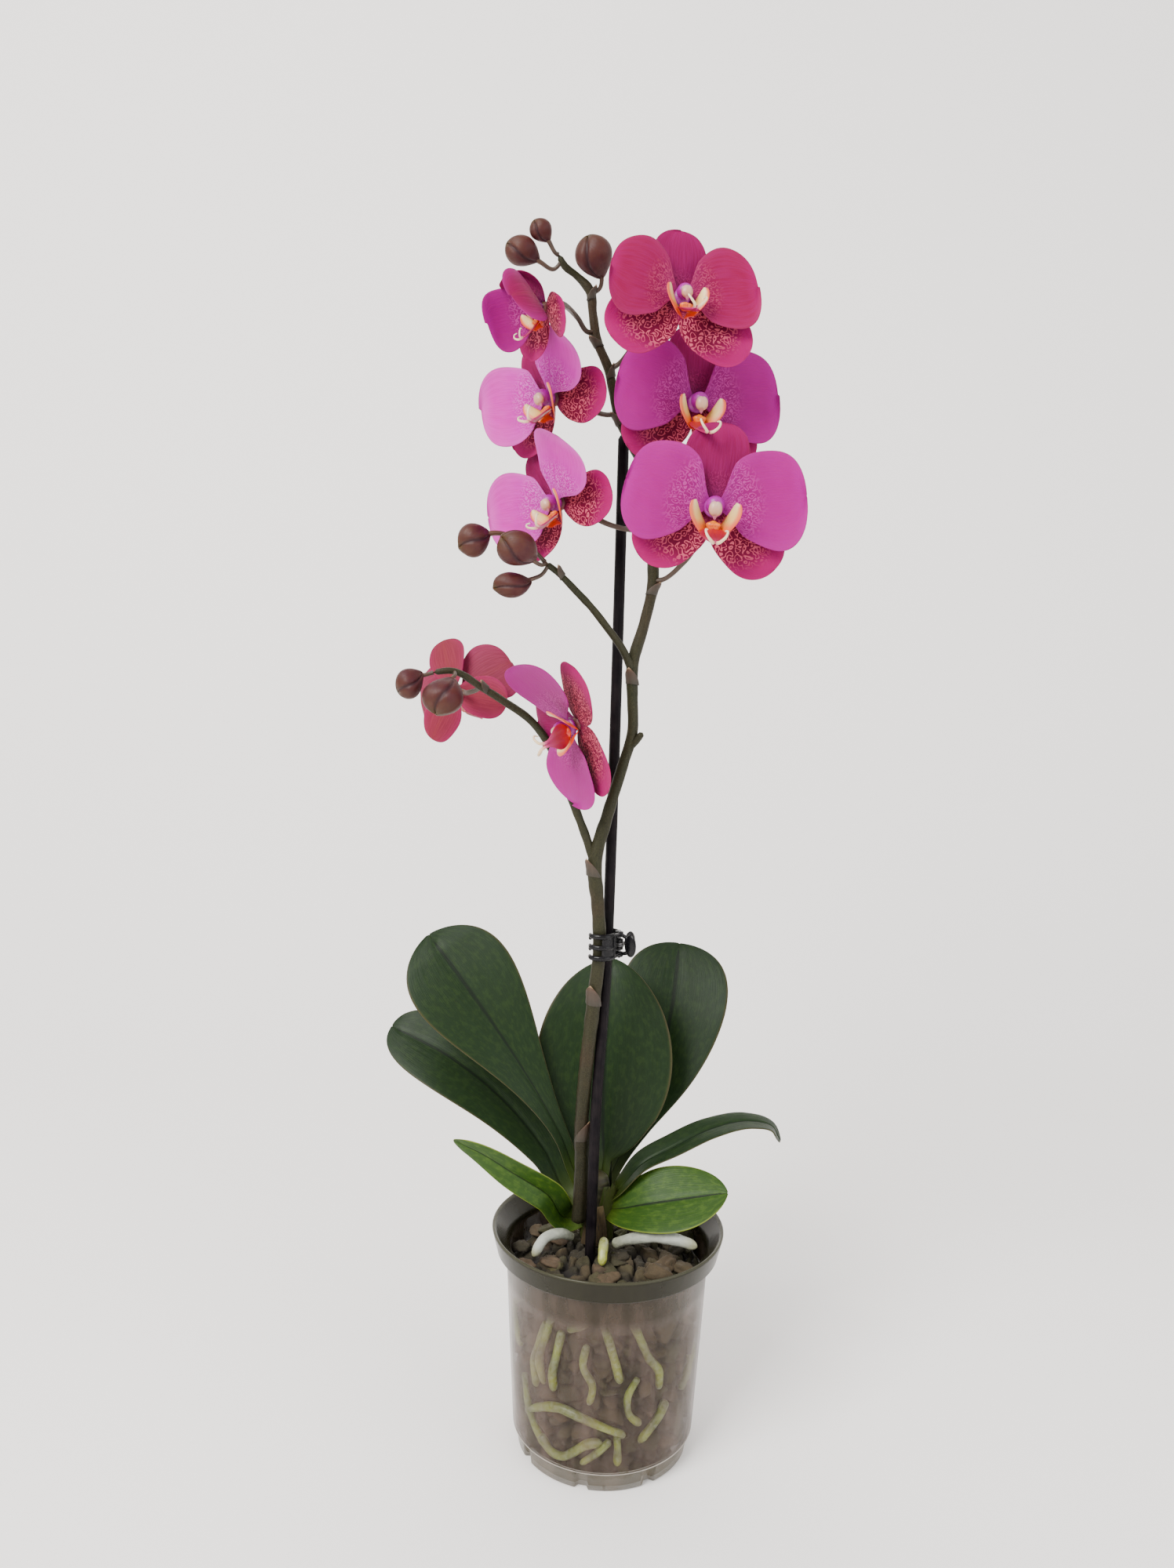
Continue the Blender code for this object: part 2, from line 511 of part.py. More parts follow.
def build_lip(name, size, place, parts):
    """Two upright side lobes and a pointed middle lobe with its two tendrils, in one body."""
    lobes = []
    for side in (-1.0, 1.0):
        def side_lobe(u, v, side=side):
            half = (3.4 * math.sin(math.pi * min(1.0, 0.25 + 0.75 * u)) + 1.0) * size
            return place @ Vector((side * (2.2 + 5.0 * u + 0.6 * v * v) * size,
                                   -LIP_OFFSET - (5.0 + 1.5 * u) * size + v * half,
                                   (-9.5 + 12.5 * u) * size))
        lobes.append(sheet(f"{name}_side", 2, 4, side_lobe, 1.0, parts))

    def middle_lobe(u, v):
        half = (1.6 + 4.6 * math.sin(math.pi * min(1.0, 0.12 + 1.0 * u)) * (1.0 - 0.35 * u)) * size
        return place @ Vector((v * half, -LIP_OFFSET - (3.5 + 11.0 * u) * size,
                               (-8.0 - 6.0 * math.sin(1.6 * u) + 1.2 * v * v) * size))
    lobes.append(sheet(f"{name}_middle", 2, 5, middle_lobe, 1.2, parts))
    lip = fuse(name, [lobes[2], lobes[0], lobes[1]])
    paint(lip, (0.55, 0.04, 0.14), 0.4)


def build_flower(name, parts):
    hub, turn, nod, roll, size, spread, curls, stem = FLOWERS[name]
    place = flower_matrix(hub, turn, nod, roll)
    spin = place.to_3x3().to_4x4()
    back = place @ Vector((0.0, WHORL_OFFSET + 1.2, 0.0))
    hub_size = (8.4 * size, 4.2, 8.4 * size)
    sepals = [ellipsoid(f"{name}_hub", place @ Vector((0.0, WHORL_OFFSET, 0.0)), hub_size, parts, spin)]
    sepals.append(tube(f"{name}_pedicel", [*stem, tuple(back)], 1.5, 8, parts))
    for (key, spec), extra in zip(SEPALS.items(), (curls[0], 0.0, 0.0)):
        sepals.append(build_tepal(f"{name}_{key}", spec, size, spread, extra, -WHORL_OFFSET, place, parts))
    paint(fuse(f"{name}_sepals", sepals), (0.45, 0.05, 0.16), 0.5)

    column_base = place @ Vector((0.0, -WHORL_OFFSET, 0.0))
    column_tip = place @ Vector((0.0, -10.0 * size, -1.6 * size))
    petals = [ellipsoid(f"{name}_heart", column_base, (7.4 * size, 3.4, 7.4 * size), parts, spin)]
    column = [(*column_base, 2.6 * size), (*column_tip, 3.2 * size)]
    petals.append(tube(f"{name}_column", column, 3.0, 4, parts))
    for (key, spec), extra in zip(PETALS.items(), curls[1:]):
        petals.append(build_tepal(f"{name}_{key}", spec, size, spread, extra, WHORL_OFFSET, place, parts))
    paint(fuse(f"{name}_petals", petals), (0.55, 0.10, 0.38), 0.5)
    build_lip(f"{name}_lip", size, place, parts)


def build_bud(name, parts):
    centre, (width, height, depth), stem = BUDS[name]
    body = ellipsoid(name, centre, (width, depth, height), parts, segments=10, rings=7)
    pedicel = tube(f"{name}_pedicel", [*stem, centre], 1.3, 7, parts)
    paint(fuse(name, [body, pedicel]), (0.20, 0.08, 0.075), 0.5)


def build_wall_root(name, parts):
    knots = []
    for degrees, height in WALL_ROOTS[name]:
        radius = wall_radius(height) - WALL - 0.6 - ROOT_RADIUS - GAP
        turn = math.radians(degrees)
        knots.append((radius * math.sin(turn), -radius * math.cos(turn), height))
    root = tube(name, knots, ROOT_RADIUS, 10, parts)
    paint(root, (0.25, 0.28, 0.10), 0.6)


def build_clip_jaw(name, route, fingers, handle_sign, knuckles, parts):
    """Comb of curved fingers on a knuckle bar, with a plate to press on the other side of the pin."""
    pivot = Vector((*CLIP_PIVOT, CLIP_HEIGHT))
    pieces = []
    spine = route[0]
    low = min(fingers) - 1.4 * CLIP_FINGER_RADIUS
    high = max(fingers) + 1.4 * CLIP_FINGER_RADIUS
    pieces.append(tube(f"{name}_bar", [(*spine, CLIP_HEIGHT + low), (*spine, CLIP_HEIGHT + high)],
                       CLIP_FINGER_RADIUS * 1.15, 4, parts, blunt=1.0))
    for level in fingers:
        pieces.append(tube(f"{name}_finger", [(x, y, CLIP_HEIGHT + level) for x, y in route],
                           CLIP_FINGER_RADIUS, 10, parts))
    turn = math.radians(CLIP_HANDLE_TURN) * handle_sign
    reach = Vector((math.cos(turn), math.sin(turn), 0.0))
    for level, length in knuckles:
        bore_line = [pivot + Vector((0, 0, level)), pivot + Vector((0, 0, level + length))]
        pieces.append(tube(f"{name}_knuckle", bore_line, CLIP_KNUCKLE_RADIUS, 3, parts, blunt=1.0))
        start = Vector((*spine, CLIP_HEIGHT + level + length * 0.53))
        middle = pivot + Vector((0, 0, level + length * 0.5))
        pieces.append(tube(f"{name}_arm", [start, middle + reach * 0.6], length * 0.41, 3, parts, blunt=1.0))
        end = pivot + reach * 5.1 + Vector((0, 0, (level + length * 0.5) * 0.83))
        pieces.append(tube(f"{name}_lever", [middle, end], min(1.1, length * 0.36), 3, parts, blunt=1.0))
    spin = Matrix.Rotation(turn + CLIP_HANDLE_SKEW, 4, "Z")
    centre = pivot + reach * CLIP_HANDLE_REACH
    pieces.append(ellipsoid(f"{name}_handle", centre, CLIP_HANDLE_SIZE, parts, spin))
    return fuse(name, pieces)


def build_clip(parts, cutters):
    bore = cutter_cylinder("clip_bore", CLIP_PIN_RADIUS + 0.15, 30.0, (*CLIP_PIVOT, CLIP_HEIGHT), cutters)
    front = build_clip_jaw("clip_front_jaw", CLIP_FRONT_ROUTE, CLIP_FRONT_FINGERS, -1.0,
                           CLIP_FRONT_KNUCKLES, parts)
    back = build_clip_jaw("clip_back_jaw", CLIP_BACK_ROUTE, CLIP_BACK_FINGERS, 1.0, CLIP_BACK_KNUCKLES, parts)
    for jaw in (front, back):
        cut(jaw, bore)
        paint(bake(jaw), (0.03, 0.03, 0.035), 0.2)
    ends = [(*CLIP_PIVOT, CLIP_HEIGHT - CLIP_PIN_HALF), (*CLIP_PIVOT, CLIP_HEIGHT + CLIP_PIN_HALF)]
    pin = tube("clip_pin", ends, CLIP_PIN_RADIUS, 3, parts, blunt=1.0)
    paint(pin, (0.3, 0.3, 0.3), 0.3)


def main():
    clear_scene()
    parts = new_collection("potted_orchid")
    cutters = new_collection("cutters")
    build_pot(parts, cutters)
    build_medium(parts, cutters)
    build_bark(parts)
    build_crown(parts)
    build_stems(parts)
    for name in LEAVES:
        build_leaf(name, parts)
    for name, (knots, radius, colour) in TOP_ROOTS.items():
        paint(tube(name, knots, radius, 11, parts), colour, 0.6)
    for name in WALL_ROOTS:
        build_wall_root(name, parts)
    for name in FLOWERS:
        build_flower(name, parts)
    for name in BUDS:
        build_bud(name, parts)
    build_clip(parts, cutters)


main()
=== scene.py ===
import bpy
import math
import numpy as np
from mathutils import Matrix, Vector

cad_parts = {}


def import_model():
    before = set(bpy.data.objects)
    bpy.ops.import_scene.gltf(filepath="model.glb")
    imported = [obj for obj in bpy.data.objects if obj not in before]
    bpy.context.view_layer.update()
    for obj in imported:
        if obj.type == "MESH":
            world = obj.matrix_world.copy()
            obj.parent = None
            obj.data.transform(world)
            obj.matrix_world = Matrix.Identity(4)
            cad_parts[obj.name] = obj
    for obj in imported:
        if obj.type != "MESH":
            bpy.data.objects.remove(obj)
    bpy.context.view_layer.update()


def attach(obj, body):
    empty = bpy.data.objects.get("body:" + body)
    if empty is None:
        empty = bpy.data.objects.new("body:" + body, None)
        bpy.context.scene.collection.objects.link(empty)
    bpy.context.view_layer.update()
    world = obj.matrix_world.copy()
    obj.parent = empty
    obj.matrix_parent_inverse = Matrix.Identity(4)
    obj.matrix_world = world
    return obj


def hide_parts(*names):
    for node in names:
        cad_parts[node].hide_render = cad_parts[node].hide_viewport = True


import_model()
mm = 0.001
pi = math.pi
studio = {"saturation": 1.28, "depth": 0.80}


def unit(v):
    # every vector scaled to length one
    return v / np.maximum(np.linalg.norm(v, axis=-1, keepdims=True), 1e-9)


def step(low, high, x):
    # eases from 0 at low to 1 at high
    t = np.clip((x - low) / (high - low), 0.0, 1.0)
    return t * t * (3.0 - 2.0 * t)


def bump(centre, width, x):
    # bell of height one round centre
    return np.exp(-((x - centre) / width) ** 2)


def smoothPath(knots, count):
    # cubic through the knots, slopes taken from the neighbours, evenly spaced; every column is carried
    knots = np.array(knots, dtype=float)
    run = np.linalg.norm(np.diff(knots[:, :3], axis=0), axis=1)
    along = np.concatenate(([0.0], np.cumsum(run)))
    slope = np.gradient(knots, along, axis=0)
    where = np.linspace(0.0, along[-1], count)
    cell = np.clip(np.searchsorted(along, where, side="right") - 1, 0, len(run) - 1)
    t = ((where - along[cell]) / run[cell])[:, None]
    reach = run[cell][:, None]
    first = (1 + 2 * t) * (1 - t) ** 2 * knots[cell] + t * (1 - t) ** 2 * reach * slope[cell]
    last = t ** 2 * (3 - 2 * t) * knots[cell + 1] + t ** 2 * (t - 1) * reach * slope[cell + 1]
    return first + last


def makePiece(name, points, faces, material, home, uv=None, marks=None):
    # points in millimetres; home is (body, record slot, CAD nodes it stands for)
    mesh = bpy.data.meshes.new(name)
    mesh.from_pydata((points * mm).tolist(), [], faces)
    mesh.polygons.foreach_set("use_smooth", np.ones(len(mesh.polygons), dtype=bool))
    for key, values in (marks or {}).items():
        store = mesh.attributes.new(key, "FLOAT", "POINT")
        store.data.foreach_set("value", np.ascontiguousarray(values, dtype=np.float32).ravel())
    if uv is not None:
        corner = np.empty(len(mesh.loops), dtype=np.int32)
        mesh.loops.foreach_get("vertex_index", corner)
        mesh.uv_layers.new(name="UVMap").data.foreach_set("uv", uv[corner].astype(np.float32).ravel())
    mesh.update()
    piece = bpy.data.objects.new(name, mesh)
    bpy.context.scene.collection.objects.link(piece)
    mesh.materials.append(material)
    body, slotName, nodes = home
    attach(piece, body)
    if nodes:
        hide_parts(*nodes)
    return piece


def ringFaces(count, around, first=0):
    # quads that join each ring of points to the next, closed round
    i = np.arange(count - 1)[:, None] * around + first
    j = np.arange(around)[None, :]
    k = (j + 1) % around
    return np.stack([i + j, i + k, i + k + around, i + j + around], axis=-1).reshape(-1, 4)


def skinRings(name, rings, material, home, uv=None, marks=None):
    # closed skin over rings[i, j], with a fan of triangles over each end, turned to face outwards
    count, around = rings.shape[:2]
    quads = ringFaces(count, around)
    points = np.vstack([rings.reshape(-1, 3), rings[0].mean(0), rings[-1].mean(0)])
    j = np.arange(around)
    k = (j + 1) % around
    end = count * around
    fans = np.vstack([np.stack([np.full(around, end), k, j], -1),
                      np.stack([np.full(around, end + 1), j + end - around, k + end - around], -1)])
    a, b, c, d = (points[quads[:, n]] for n in range(4))
    volume = np.sum(np.cross(a, b) * c) + np.sum(np.cross(a, c) * d)
    if volume < 0:
        quads, fans = quads[:, ::-1], fans[:, ::-1]

    def capped(values):
        inner = values.reshape(end, *values.shape[2:])
        return np.concatenate([inner, values[:1].mean(1), values[-1:].mean(1)])

    marks = {key: capped(np.broadcast_to(value, (count, around))) for key, value in (marks or {}).items()}
    uv = None if uv is None else capped(uv)
    return makePiece(name, points, quads.tolist() + fans.tolist(), material, home, uv, marks)


def blade(name, surface, thick, rows, cols, material, home, size=(1.0, 1.0), rim=0.5):
    # surface(u along, v across) is the middle; the skin runs round it, half the thickness off on each side
    u = (0.5 - 0.5 * np.cos(pi * np.linspace(0.0, 1.0, rows)))[:, None]
    turn = np.arange(2 * cols)[None, :] / cols * pi
    v = -np.cos(turn) + 0.0 * u
    u = u + 0.0 * v
    uc, vc, small = np.clip(u, 0.004, 0.996), np.clip(v, -0.996, 0.996), 0.003
    du = surface(uc + small, vc) - surface(uc - small, vc)
    dv = surface(uc, vc + small) - surface(uc, vc - small)
    normal = unit(np.cross(du, dv))
    side = np.sin(turn) + 0.0 * u
    lift = np.sign(side) * np.abs(side) ** rim * 0.5 * thick * np.clip(np.minimum(u, 1 - u) * 14, 0.3, 1.0)
    rings = surface(u, v) + normal * lift[..., None]
    uv = np.stack([v * size[0] * 0.5, u * size[1]], axis=-1)
    marks = {"along": u, "across": v, "face": np.clip(side * 3, -1, 1) * 0.5 + 0.5}
    return skinRings(name, rings, material, home, uv, marks)


def sweep(name, path, radius, around, material, home, ends=(1.0, 1.0), flat=None, ridges=None):
    # round tube along a path, its ends drawn in over the given number of radii; flat is (direction, factor)
    path = np.asarray(path, dtype=float)
    radius = np.broadcast_to(np.asarray(radius, dtype=float), (len(path),)).copy()
    run = np.concatenate(([0.0], np.cumsum(np.linalg.norm(np.diff(path, axis=0), axis=1))))
    tangent = unit(np.gradient(path, axis=0))
    ref = np.linalg.svd(tangent)[2][-1] if flat is None else unit(np.array(flat[0], dtype=float))
    side = unit(np.cross(tangent, ref))
    up = np.cross(side, tangent)
    turn = np.arange(around) / around * 2 * pi
    near = np.clip(1 - run / (ends[0] * radius[0] + 1e-6), 0, 1)
    far = np.clip(1 - (run[-1] - run) / (ends[1] * radius[-1] + 1e-6), 0, 1)
    radius *= np.sqrt(np.clip(1 - near ** 2, 0.02, 1)) * np.sqrt(np.clip(1 - far ** 2, 0.02, 1))
    grow = np.ones((len(path), around)) if ridges is None else ridges(run[:, None], turn[None, :])
    thin = 1.0 if flat is None else flat[1]
    rings = path[:, None] + (radius[:, None] * grow)[..., None] * (
        np.cos(turn)[None, :, None] * side[:, None] + thin * np.sin(turn)[None, :, None] * up[:, None])
    marks = {"along": (run / run[-1])[:, None] + 0 * turn, "turn": turn[None, :] + 0 * run[:, None]}
    uv = np.stack([np.abs(turn[None, :] - pi) * radius[:, None], run[:, None] + 0 * turn], axis=-1)
    return skinRings(name, rings, material, home, uv, marks)


def waveNoise(points, scale, seed, layers=3):
    # smooth noise about 0: sines along random directions, each layer twice as fine and half as tall
    rng = np.random.default_rng(seed)
    total = np.zeros(points.shape[:-1])
    for layer in range(layers):
        for _ in range(5):
            way = rng.normal(size=3)
            way *= 2 ** layer / (scale * np.linalg.norm(way))
            total = total + np.sin(points @ way * 2 * pi + rng.uniform(0, 2 * pi)) * 0.5 ** layer / 2.2
    return total


def srgb(r, g, b):
    # a screen colour, 0 to 255, as the shader wants it, deepened for the bright room
    c = np.array([r, g, b]) / 255.0
    c = np.where(c <= 0.04045, c / 12.92, ((c + 0.055) / 1.055) ** 2.4)
    grey = c @ np.array([0.2126, 0.7152, 0.0722])
    c = np.clip(grey + (c - grey) * studio["saturation"], 0.0, 1.0) * studio["depth"]
    return (*c.tolist(), 1.0)


def put(tree, kind, inputs=None, **settings):
    node = tree.nodes.new("ShaderNode" + kind)
    for key, value in settings.items():
        setattr(node, key, value)
    for key, value in (inputs or {}).items():
        if isinstance(value, bpy.types.NodeSocket):
            tree.links.new(value, node.inputs[key])
        else:
            node.inputs[key].default_value = value
    return node


def calc(tree, operation, a, b=0.0, c=None, clamp=False):
    inputs = {0: a, 1: b} if c is None else {0: a, 1: b, 2: c}
    return put(tree, "Math", inputs, operation=operation, use_clamp=clamp).outputs[0]


def times(tree, a, b):
    return calc(tree, "MULTIPLY", a, b)


def inverse(tree, a):
    return calc(tree, "SUBTRACT", 1.0, a)


def mixed(tree, factor, a, b):
    return put(tree, "Mix", {0: factor, 6: a, 7: b}, data_type="RGBA").outputs[2]


def wash(tree, base, mask, share, tone):
    # the tone laid over the base where the mask is, at most the given share of it
    return mixed(tree, times(tree, mask, share), base, tone)


def ease(tree, value, low, high):
    inputs = {"Value": value, "From Min": low, "From Max": high}
    return put(tree, "MapRange", inputs, interpolation_type="SMOOTHSTEP").outputs[0]


def ramp(tree, factor, stops):
    # each stop is (place, red, green, blue)
    node = put(tree, "ValToRGB", {"Fac": factor})
    node.color_ramp.interpolation = "EASE"
    while len(node.color_ramp.elements) < len(stops):
        node.color_ramp.elements.new(0.5)
    for element, (place, *tone) in zip(node.color_ramp.elements, stops):
        element.position = place
        element.color = srgb(*tone)
    return node.outputs[0]


def mark(tree, name):
    return put(tree, "Attribute", attribute_name=name).outputs["Fac"]


def noise(tree, vector, scale, detail, **more):
    # one scale for all ways, or a factor for each axis
    if isinstance(scale, tuple):
        vector, scale = put(tree, "Mapping", {"Vector": vector, "Scale": scale}).outputs[0], 1.0
    inputs = {"Vector": vector, "Scale": scale, "Detail": detail, **more}
    return put(tree, "TexNoise", inputs).outputs["Fac"]


def startMaterial(name, settings):
    # settings are the shader's own sockets that are the same all over the piece
    material = bpy.data.materials.new(name)
    material.use_nodes = True
    tree = material.node_tree
    shader = tree.nodes["Principled BSDF"]
    for key, value in settings.items():
        shader.inputs[key].default_value = value
    place = put(tree, "TexCoord")
    return material, tree, place.outputs["Object"], place.outputs["UV"]


def dressed(material, sockets, relief=None, strength=0.0, distance=0.0):
    # wires the sockets into the shader, and the relief as its bump
    tree = material.node_tree
    if relief is not None:
        heights = {"Strength": strength, "Distance": distance, "Height": relief}
        sockets = {**sockets, "Normal": put(tree, "Bump", heights).outputs[0]}
    for key, value in sockets.items():
        tree.links.new(value, tree.nodes["Principled BSDF"].inputs[key])
    return material


def makeGroup(name, inputs, outputs):
    group = bpy.data.node_groups.new(name, "ShaderNodeTree")
    for key, kind, value in inputs:
        socket = group.interface.new_socket(key, in_out="INPUT", socket_type="NodeSocket" + kind)
        if value is not None:
            socket.default_value = value
    for key, kind in outputs:
        group.interface.new_socket(key, in_out="OUTPUT", socket_type="NodeSocket" + kind)
    return group, group.nodes.new("NodeGroupInput").outputs, group.nodes.new("NodeGroupOutput").inputs


def useGroup(tree, group, inputs):
    node = put(tree, "Group", node_tree=group)
    for key, value in inputs.items():
        if isinstance(value, bpy.types.NodeSocket):
            tree.links.new(value, node.inputs[key])
        else:
            node.inputs[key].default_value = value
    return node.outputs


def labyrinthGroup():
    # broken winding lines: the level curves of a soft noise
    group, given, result = makeGroup("windingLines", [("Vector", "Vector", None), ("Period", "Float", 1.0),
                                                      ("Width", "Float", 0.5)], [("Lines", "Float")])
    scale = calc(group, "DIVIDE", 0.52, given["Period"])
    soft = noise(group, given["Vector"], scale, 0.0, Distortion=0.35)
    level = calc(group, "PINGPONG", times(group, soft, 3.4), 0.5)
    low = calc(group, "SUBTRACT", given["Width"], 0.07)
    high = calc(group, "ADD", given["Width"], 0.07)
    group.links.new(ease(group, times(group, level, 2.0), low, high), result["Lines"])
    return group


def veinGroup():
    # long fine veins: noise stretched along the blade, with a slow blotch over it
    group, given, result = makeGroup("longVeins", [("Vector", "Vector", None), ("Fineness", "Float", 1.0)],
                                     [("Veins", "Float"), ("Blotch", "Float")])
    thin = put(group, "Mapping", {"Vector": given["Vector"], "Scale": (1.5, 0.09, 1.0)}).outputs[0]
    fine = noise(group, thin, given["Fineness"], 3.0)
    slow = noise(group, given["Vector"], 0.12, 2.0)
    group.links.new(ease(group, fine, 0.35, 0.65), result["Veins"])
    group.links.new(ease(group, slow, 0.3, 0.7), result["Blotch"])
    return group


def grainGroup():
    # speckle at two sizes on the piece's own coordinates
    group, given, result = makeGroup("grain", [("Vector", "Vector", None), ("Size", "Float", 1.0)],
                                     [("Coarse", "Float"), ("Fine", "Float")])
    coarse = calc(group, "DIVIDE", 600.0, given["Size"])
    fine = calc(group, "DIVIDE", 3500.0, given["Size"])
    a = noise(group, given["Vector"], coarse, 3.0)
    b = noise(group, given["Vector"], fine, 2.0)
    group.links.new(ease(group, a, 0.3, 0.7), result["Coarse"])
    group.links.new(ease(group, b, 0.3, 0.7), result["Fine"])
    return group


windingLines = labyrinthGroup()
longVeins = veinGroup()
grain = grainGroup()


petalLook = {
    "front": [(0.0, 112, 0, 104), (0.14, 124, 0, 102), (0.4, 132, 2, 102),
              (0.8, 142, 8, 110), (1.0, 152, 30, 124)],
    "back": srgb(122, 18, 70), "rim": srgb(164, 58, 138), "winding": 0.32, "windingEnd": 0.60,
    "ground": srgb(104, 0, 72), "line": srgb(200, 98, 166), "fill": 0.60,
}
# painted light: a lighter copy of the petal finish for the flowers that face the light
litPetalLook = {
    "front": [(0.0, 144, 0, 140), (0.16, 166, 18, 148), (0.4, 184, 48, 160),
              (0.8, 194, 60, 164), (1.0, 204, 88, 178)],
    "back": srgb(132, 30, 84), "rim": srgb(212, 118, 192), "winding": 0.34, "windingEnd": 0.62,
    "ground": srgb(146, 12, 116), "line": srgb(226, 146, 210), "fill": 0.60,
}
# painted shade: a darker, redder copy of the petal finish for the flowers that sit in shade
shadedPetalLook = {
    "front": [(0.0, 110, 0, 84), (0.14, 116, 0, 72), (0.4, 120, 8, 62),
              (0.8, 124, 14, 62), (1.0, 138, 32, 82)],
    "back": srgb(124, 54, 72), "rim": srgb(148, 52, 92), "winding": 0.34, "windingEnd": 0.56,
    "ground": srgb(92, 0, 44), "line": srgb(178, 86, 106), "fill": 0.60,
}
dorsalLook = {
    "front": [(0.0, 108, 0, 84), (0.3, 110, 0, 68), (0.7, 114, 4, 66), (1.0, 126, 16, 76)],
    "back": srgb(124, 52, 64), "rim": srgb(142, 38, 88), "winding": 0.24, "windingEnd": 0.5,
    "ground": srgb(90, 0, 50), "line": srgb(172, 70, 114), "fill": 0.62,
}
lateralLook = {
    "front": [(0.0, 92, 0, 38), (0.3, 106, 2, 46), (0.7, 134, 10, 78), (1.0, 146, 26, 88)],
    "back": srgb(124, 50, 64), "rim": srgb(158, 44, 98), "winding": 0.90, "windingEnd": 0.92,
    "windingPeriod": 1.22, "ground": srgb(92, 0, 42), "line": srgb(194, 96, 112), "fill": 0.66,
}


def tepalMaterial(name, look):
    material, tree, _, uv = startMaterial(name, {
        "Roughness": 0.6, "Sheen Weight": 0.03, "Sheen Roughness": 0.4, "Subsurface Weight": 0.06,
        "Subsurface Scale": 0.001, "Specular IOR Level": 0.12})
    along, across, face = mark(tree, "along"), mark(tree, "across"), mark(tree, "face")
    edge = calc(tree, "ABSOLUTE", across)
    veins = useGroup(tree, longVeins, {"Vector": uv, "Fineness": 1.0})
    period = look.get("windingPeriod", 1.05)
    lines = useGroup(tree, windingLines, {"Vector": uv, "Period": period, "Width": look["fill"]})["Lines"]
    front = ramp(tree, along, look["front"])
    rim = times(tree, calc(tree, "POWER", edge, 5.0), 0.35)
    front = mixed(tree, rim, front, look["rim"])
    front = wash(tree, front, veins["Veins"], 0.22, (0.25, 0.01, 0.12, 1.0))
    front = wash(tree, front, veins["Blotch"], 0.10, look["rim"])
    reach = calc(tree, "ADD", along, times(tree, calc(tree, "POWER", edge, 2.0), 0.22))
    zone = inverse(tree, ease(tree, reach, look["windingEnd"] * 0.62, look["windingEnd"]))
    zone = times(tree, zone, ease(tree, along, 0.05, 0.16))
    zone = times(tree, zone, look["winding"])
    figure = mixed(tree, lines, look["ground"], look["line"])
    front = mixed(tree, zone, front, figure)
    back = wash(tree, look["back"], veins["Veins"], 0.35, srgb(84, 22, 40))
    midrib = inverse(tree, ease(tree, edge, 0.0, 0.16))
    back = wash(tree, back, midrib, 0.15, srgb(120, 60, 50))
    back = wash(tree, back, calc(tree, "POWER", edge, 3.0), 0.4, look["rim"])
    colour = mixed(tree, face, back, front)
    relief = calc(tree, "ADD", times(tree, veins["Veins"], 0.5), times(tree, lines, zone))
    return dressed(material, {"Base Color": colour}, relief, 0.35, 0.00025)


def lobeMaterial():
    # cream blade, orange towards its edges and foot, with fine red stripes low down
    material, tree, _, uv = startMaterial("sideLobe", {
        "Roughness": 0.4, "Subsurface Weight": 0.15, "Subsurface Scale": 0.0015, "Coat Weight": 0.1})
    along, edge = mark(tree, "along"), calc(tree, "ABSOLUTE", mark(tree, "across"))
    base = ramp(tree, along, [(0.0, 214, 70, 30), (0.22, 226, 126, 40), (0.5, 228, 192, 132),
                              (1.0, 230, 206, 160)])
    glow = ease(tree, calc(tree, "ADD", edge, times(tree, along, 0.10)), 0.45, 0.9)
    base = wash(tree, base, glow, 0.9, srgb(212, 84, 20))
    stripes = useGroup(tree, longVeins, {"Vector": uv, "Fineness": 2.2})["Veins"]
    low = inverse(tree, ease(tree, along, 0.15, 0.6))
    base = wash(tree, base, times(tree, stripes, low), 0.5, srgb(190, 30, 40))
    return dressed(material, {"Base Color": base}, stripes, 0.2, 0.0002)


def gradientMaterial(name, stops, settings, streak=0.25, streakColour=(0.2, 0.0, 0.05, 1.0)):
    # a colour that runs along the piece, with faint streaks
    material, tree, place, uv = startMaterial(name, settings)
    base = ramp(tree, mark(tree, "along"), stops)
    veins = useGroup(tree, longVeins, {"Vector": uv, "Fineness": 1.6})["Veins"]
    spots = useGroup(tree, grain, {"Vector": place, "Size": 0.8})["Coarse"]
    base = wash(tree, base, times(tree, veins, spots), streak, streakColour)
    return dressed(material, {"Base Color": base}, veins, 0.25, 0.0002)


def budMaterial():
    material, tree, place, uv = startMaterial("budSkin", {
        "Roughness": 0.45, "Specular IOR Level": 0.25, "Subsurface Weight": 0.08,
        "Subsurface Scale": 0.002})
    along, seamAndShade = mark(tree, "along"), mark(tree, "seamAndShade")
    base = ramp(tree, along, [(0.0, 60, 50, 26), (0.22, 64, 36, 28), (0.6, 60, 20, 26),
                              (1.0, 50, 12, 22)])
    specks = useGroup(tree, grain, {"Vector": place, "Size": 2.6})
    base = wash(tree, base, specks["Coarse"], 0.25, srgb(92, 60, 42))
    veins = noise(tree, uv, (3.2, 0.30, 1.0), 2.0)
    veins = ease(tree, veins, 0.42, 0.62)
    base = wash(tree, base, veins, 0.35, srgb(62, 24, 32))
    # painted shade: the creases where the sepals meet are darkened along the seam mask
    base = wash(tree, base, seamAndShade, 0.9, srgb(34, 8, 18))
    return dressed(material, {"Base Color": base}, calc(tree, "SUBTRACT", veins, seamAndShade), 0.25, 0.0003)


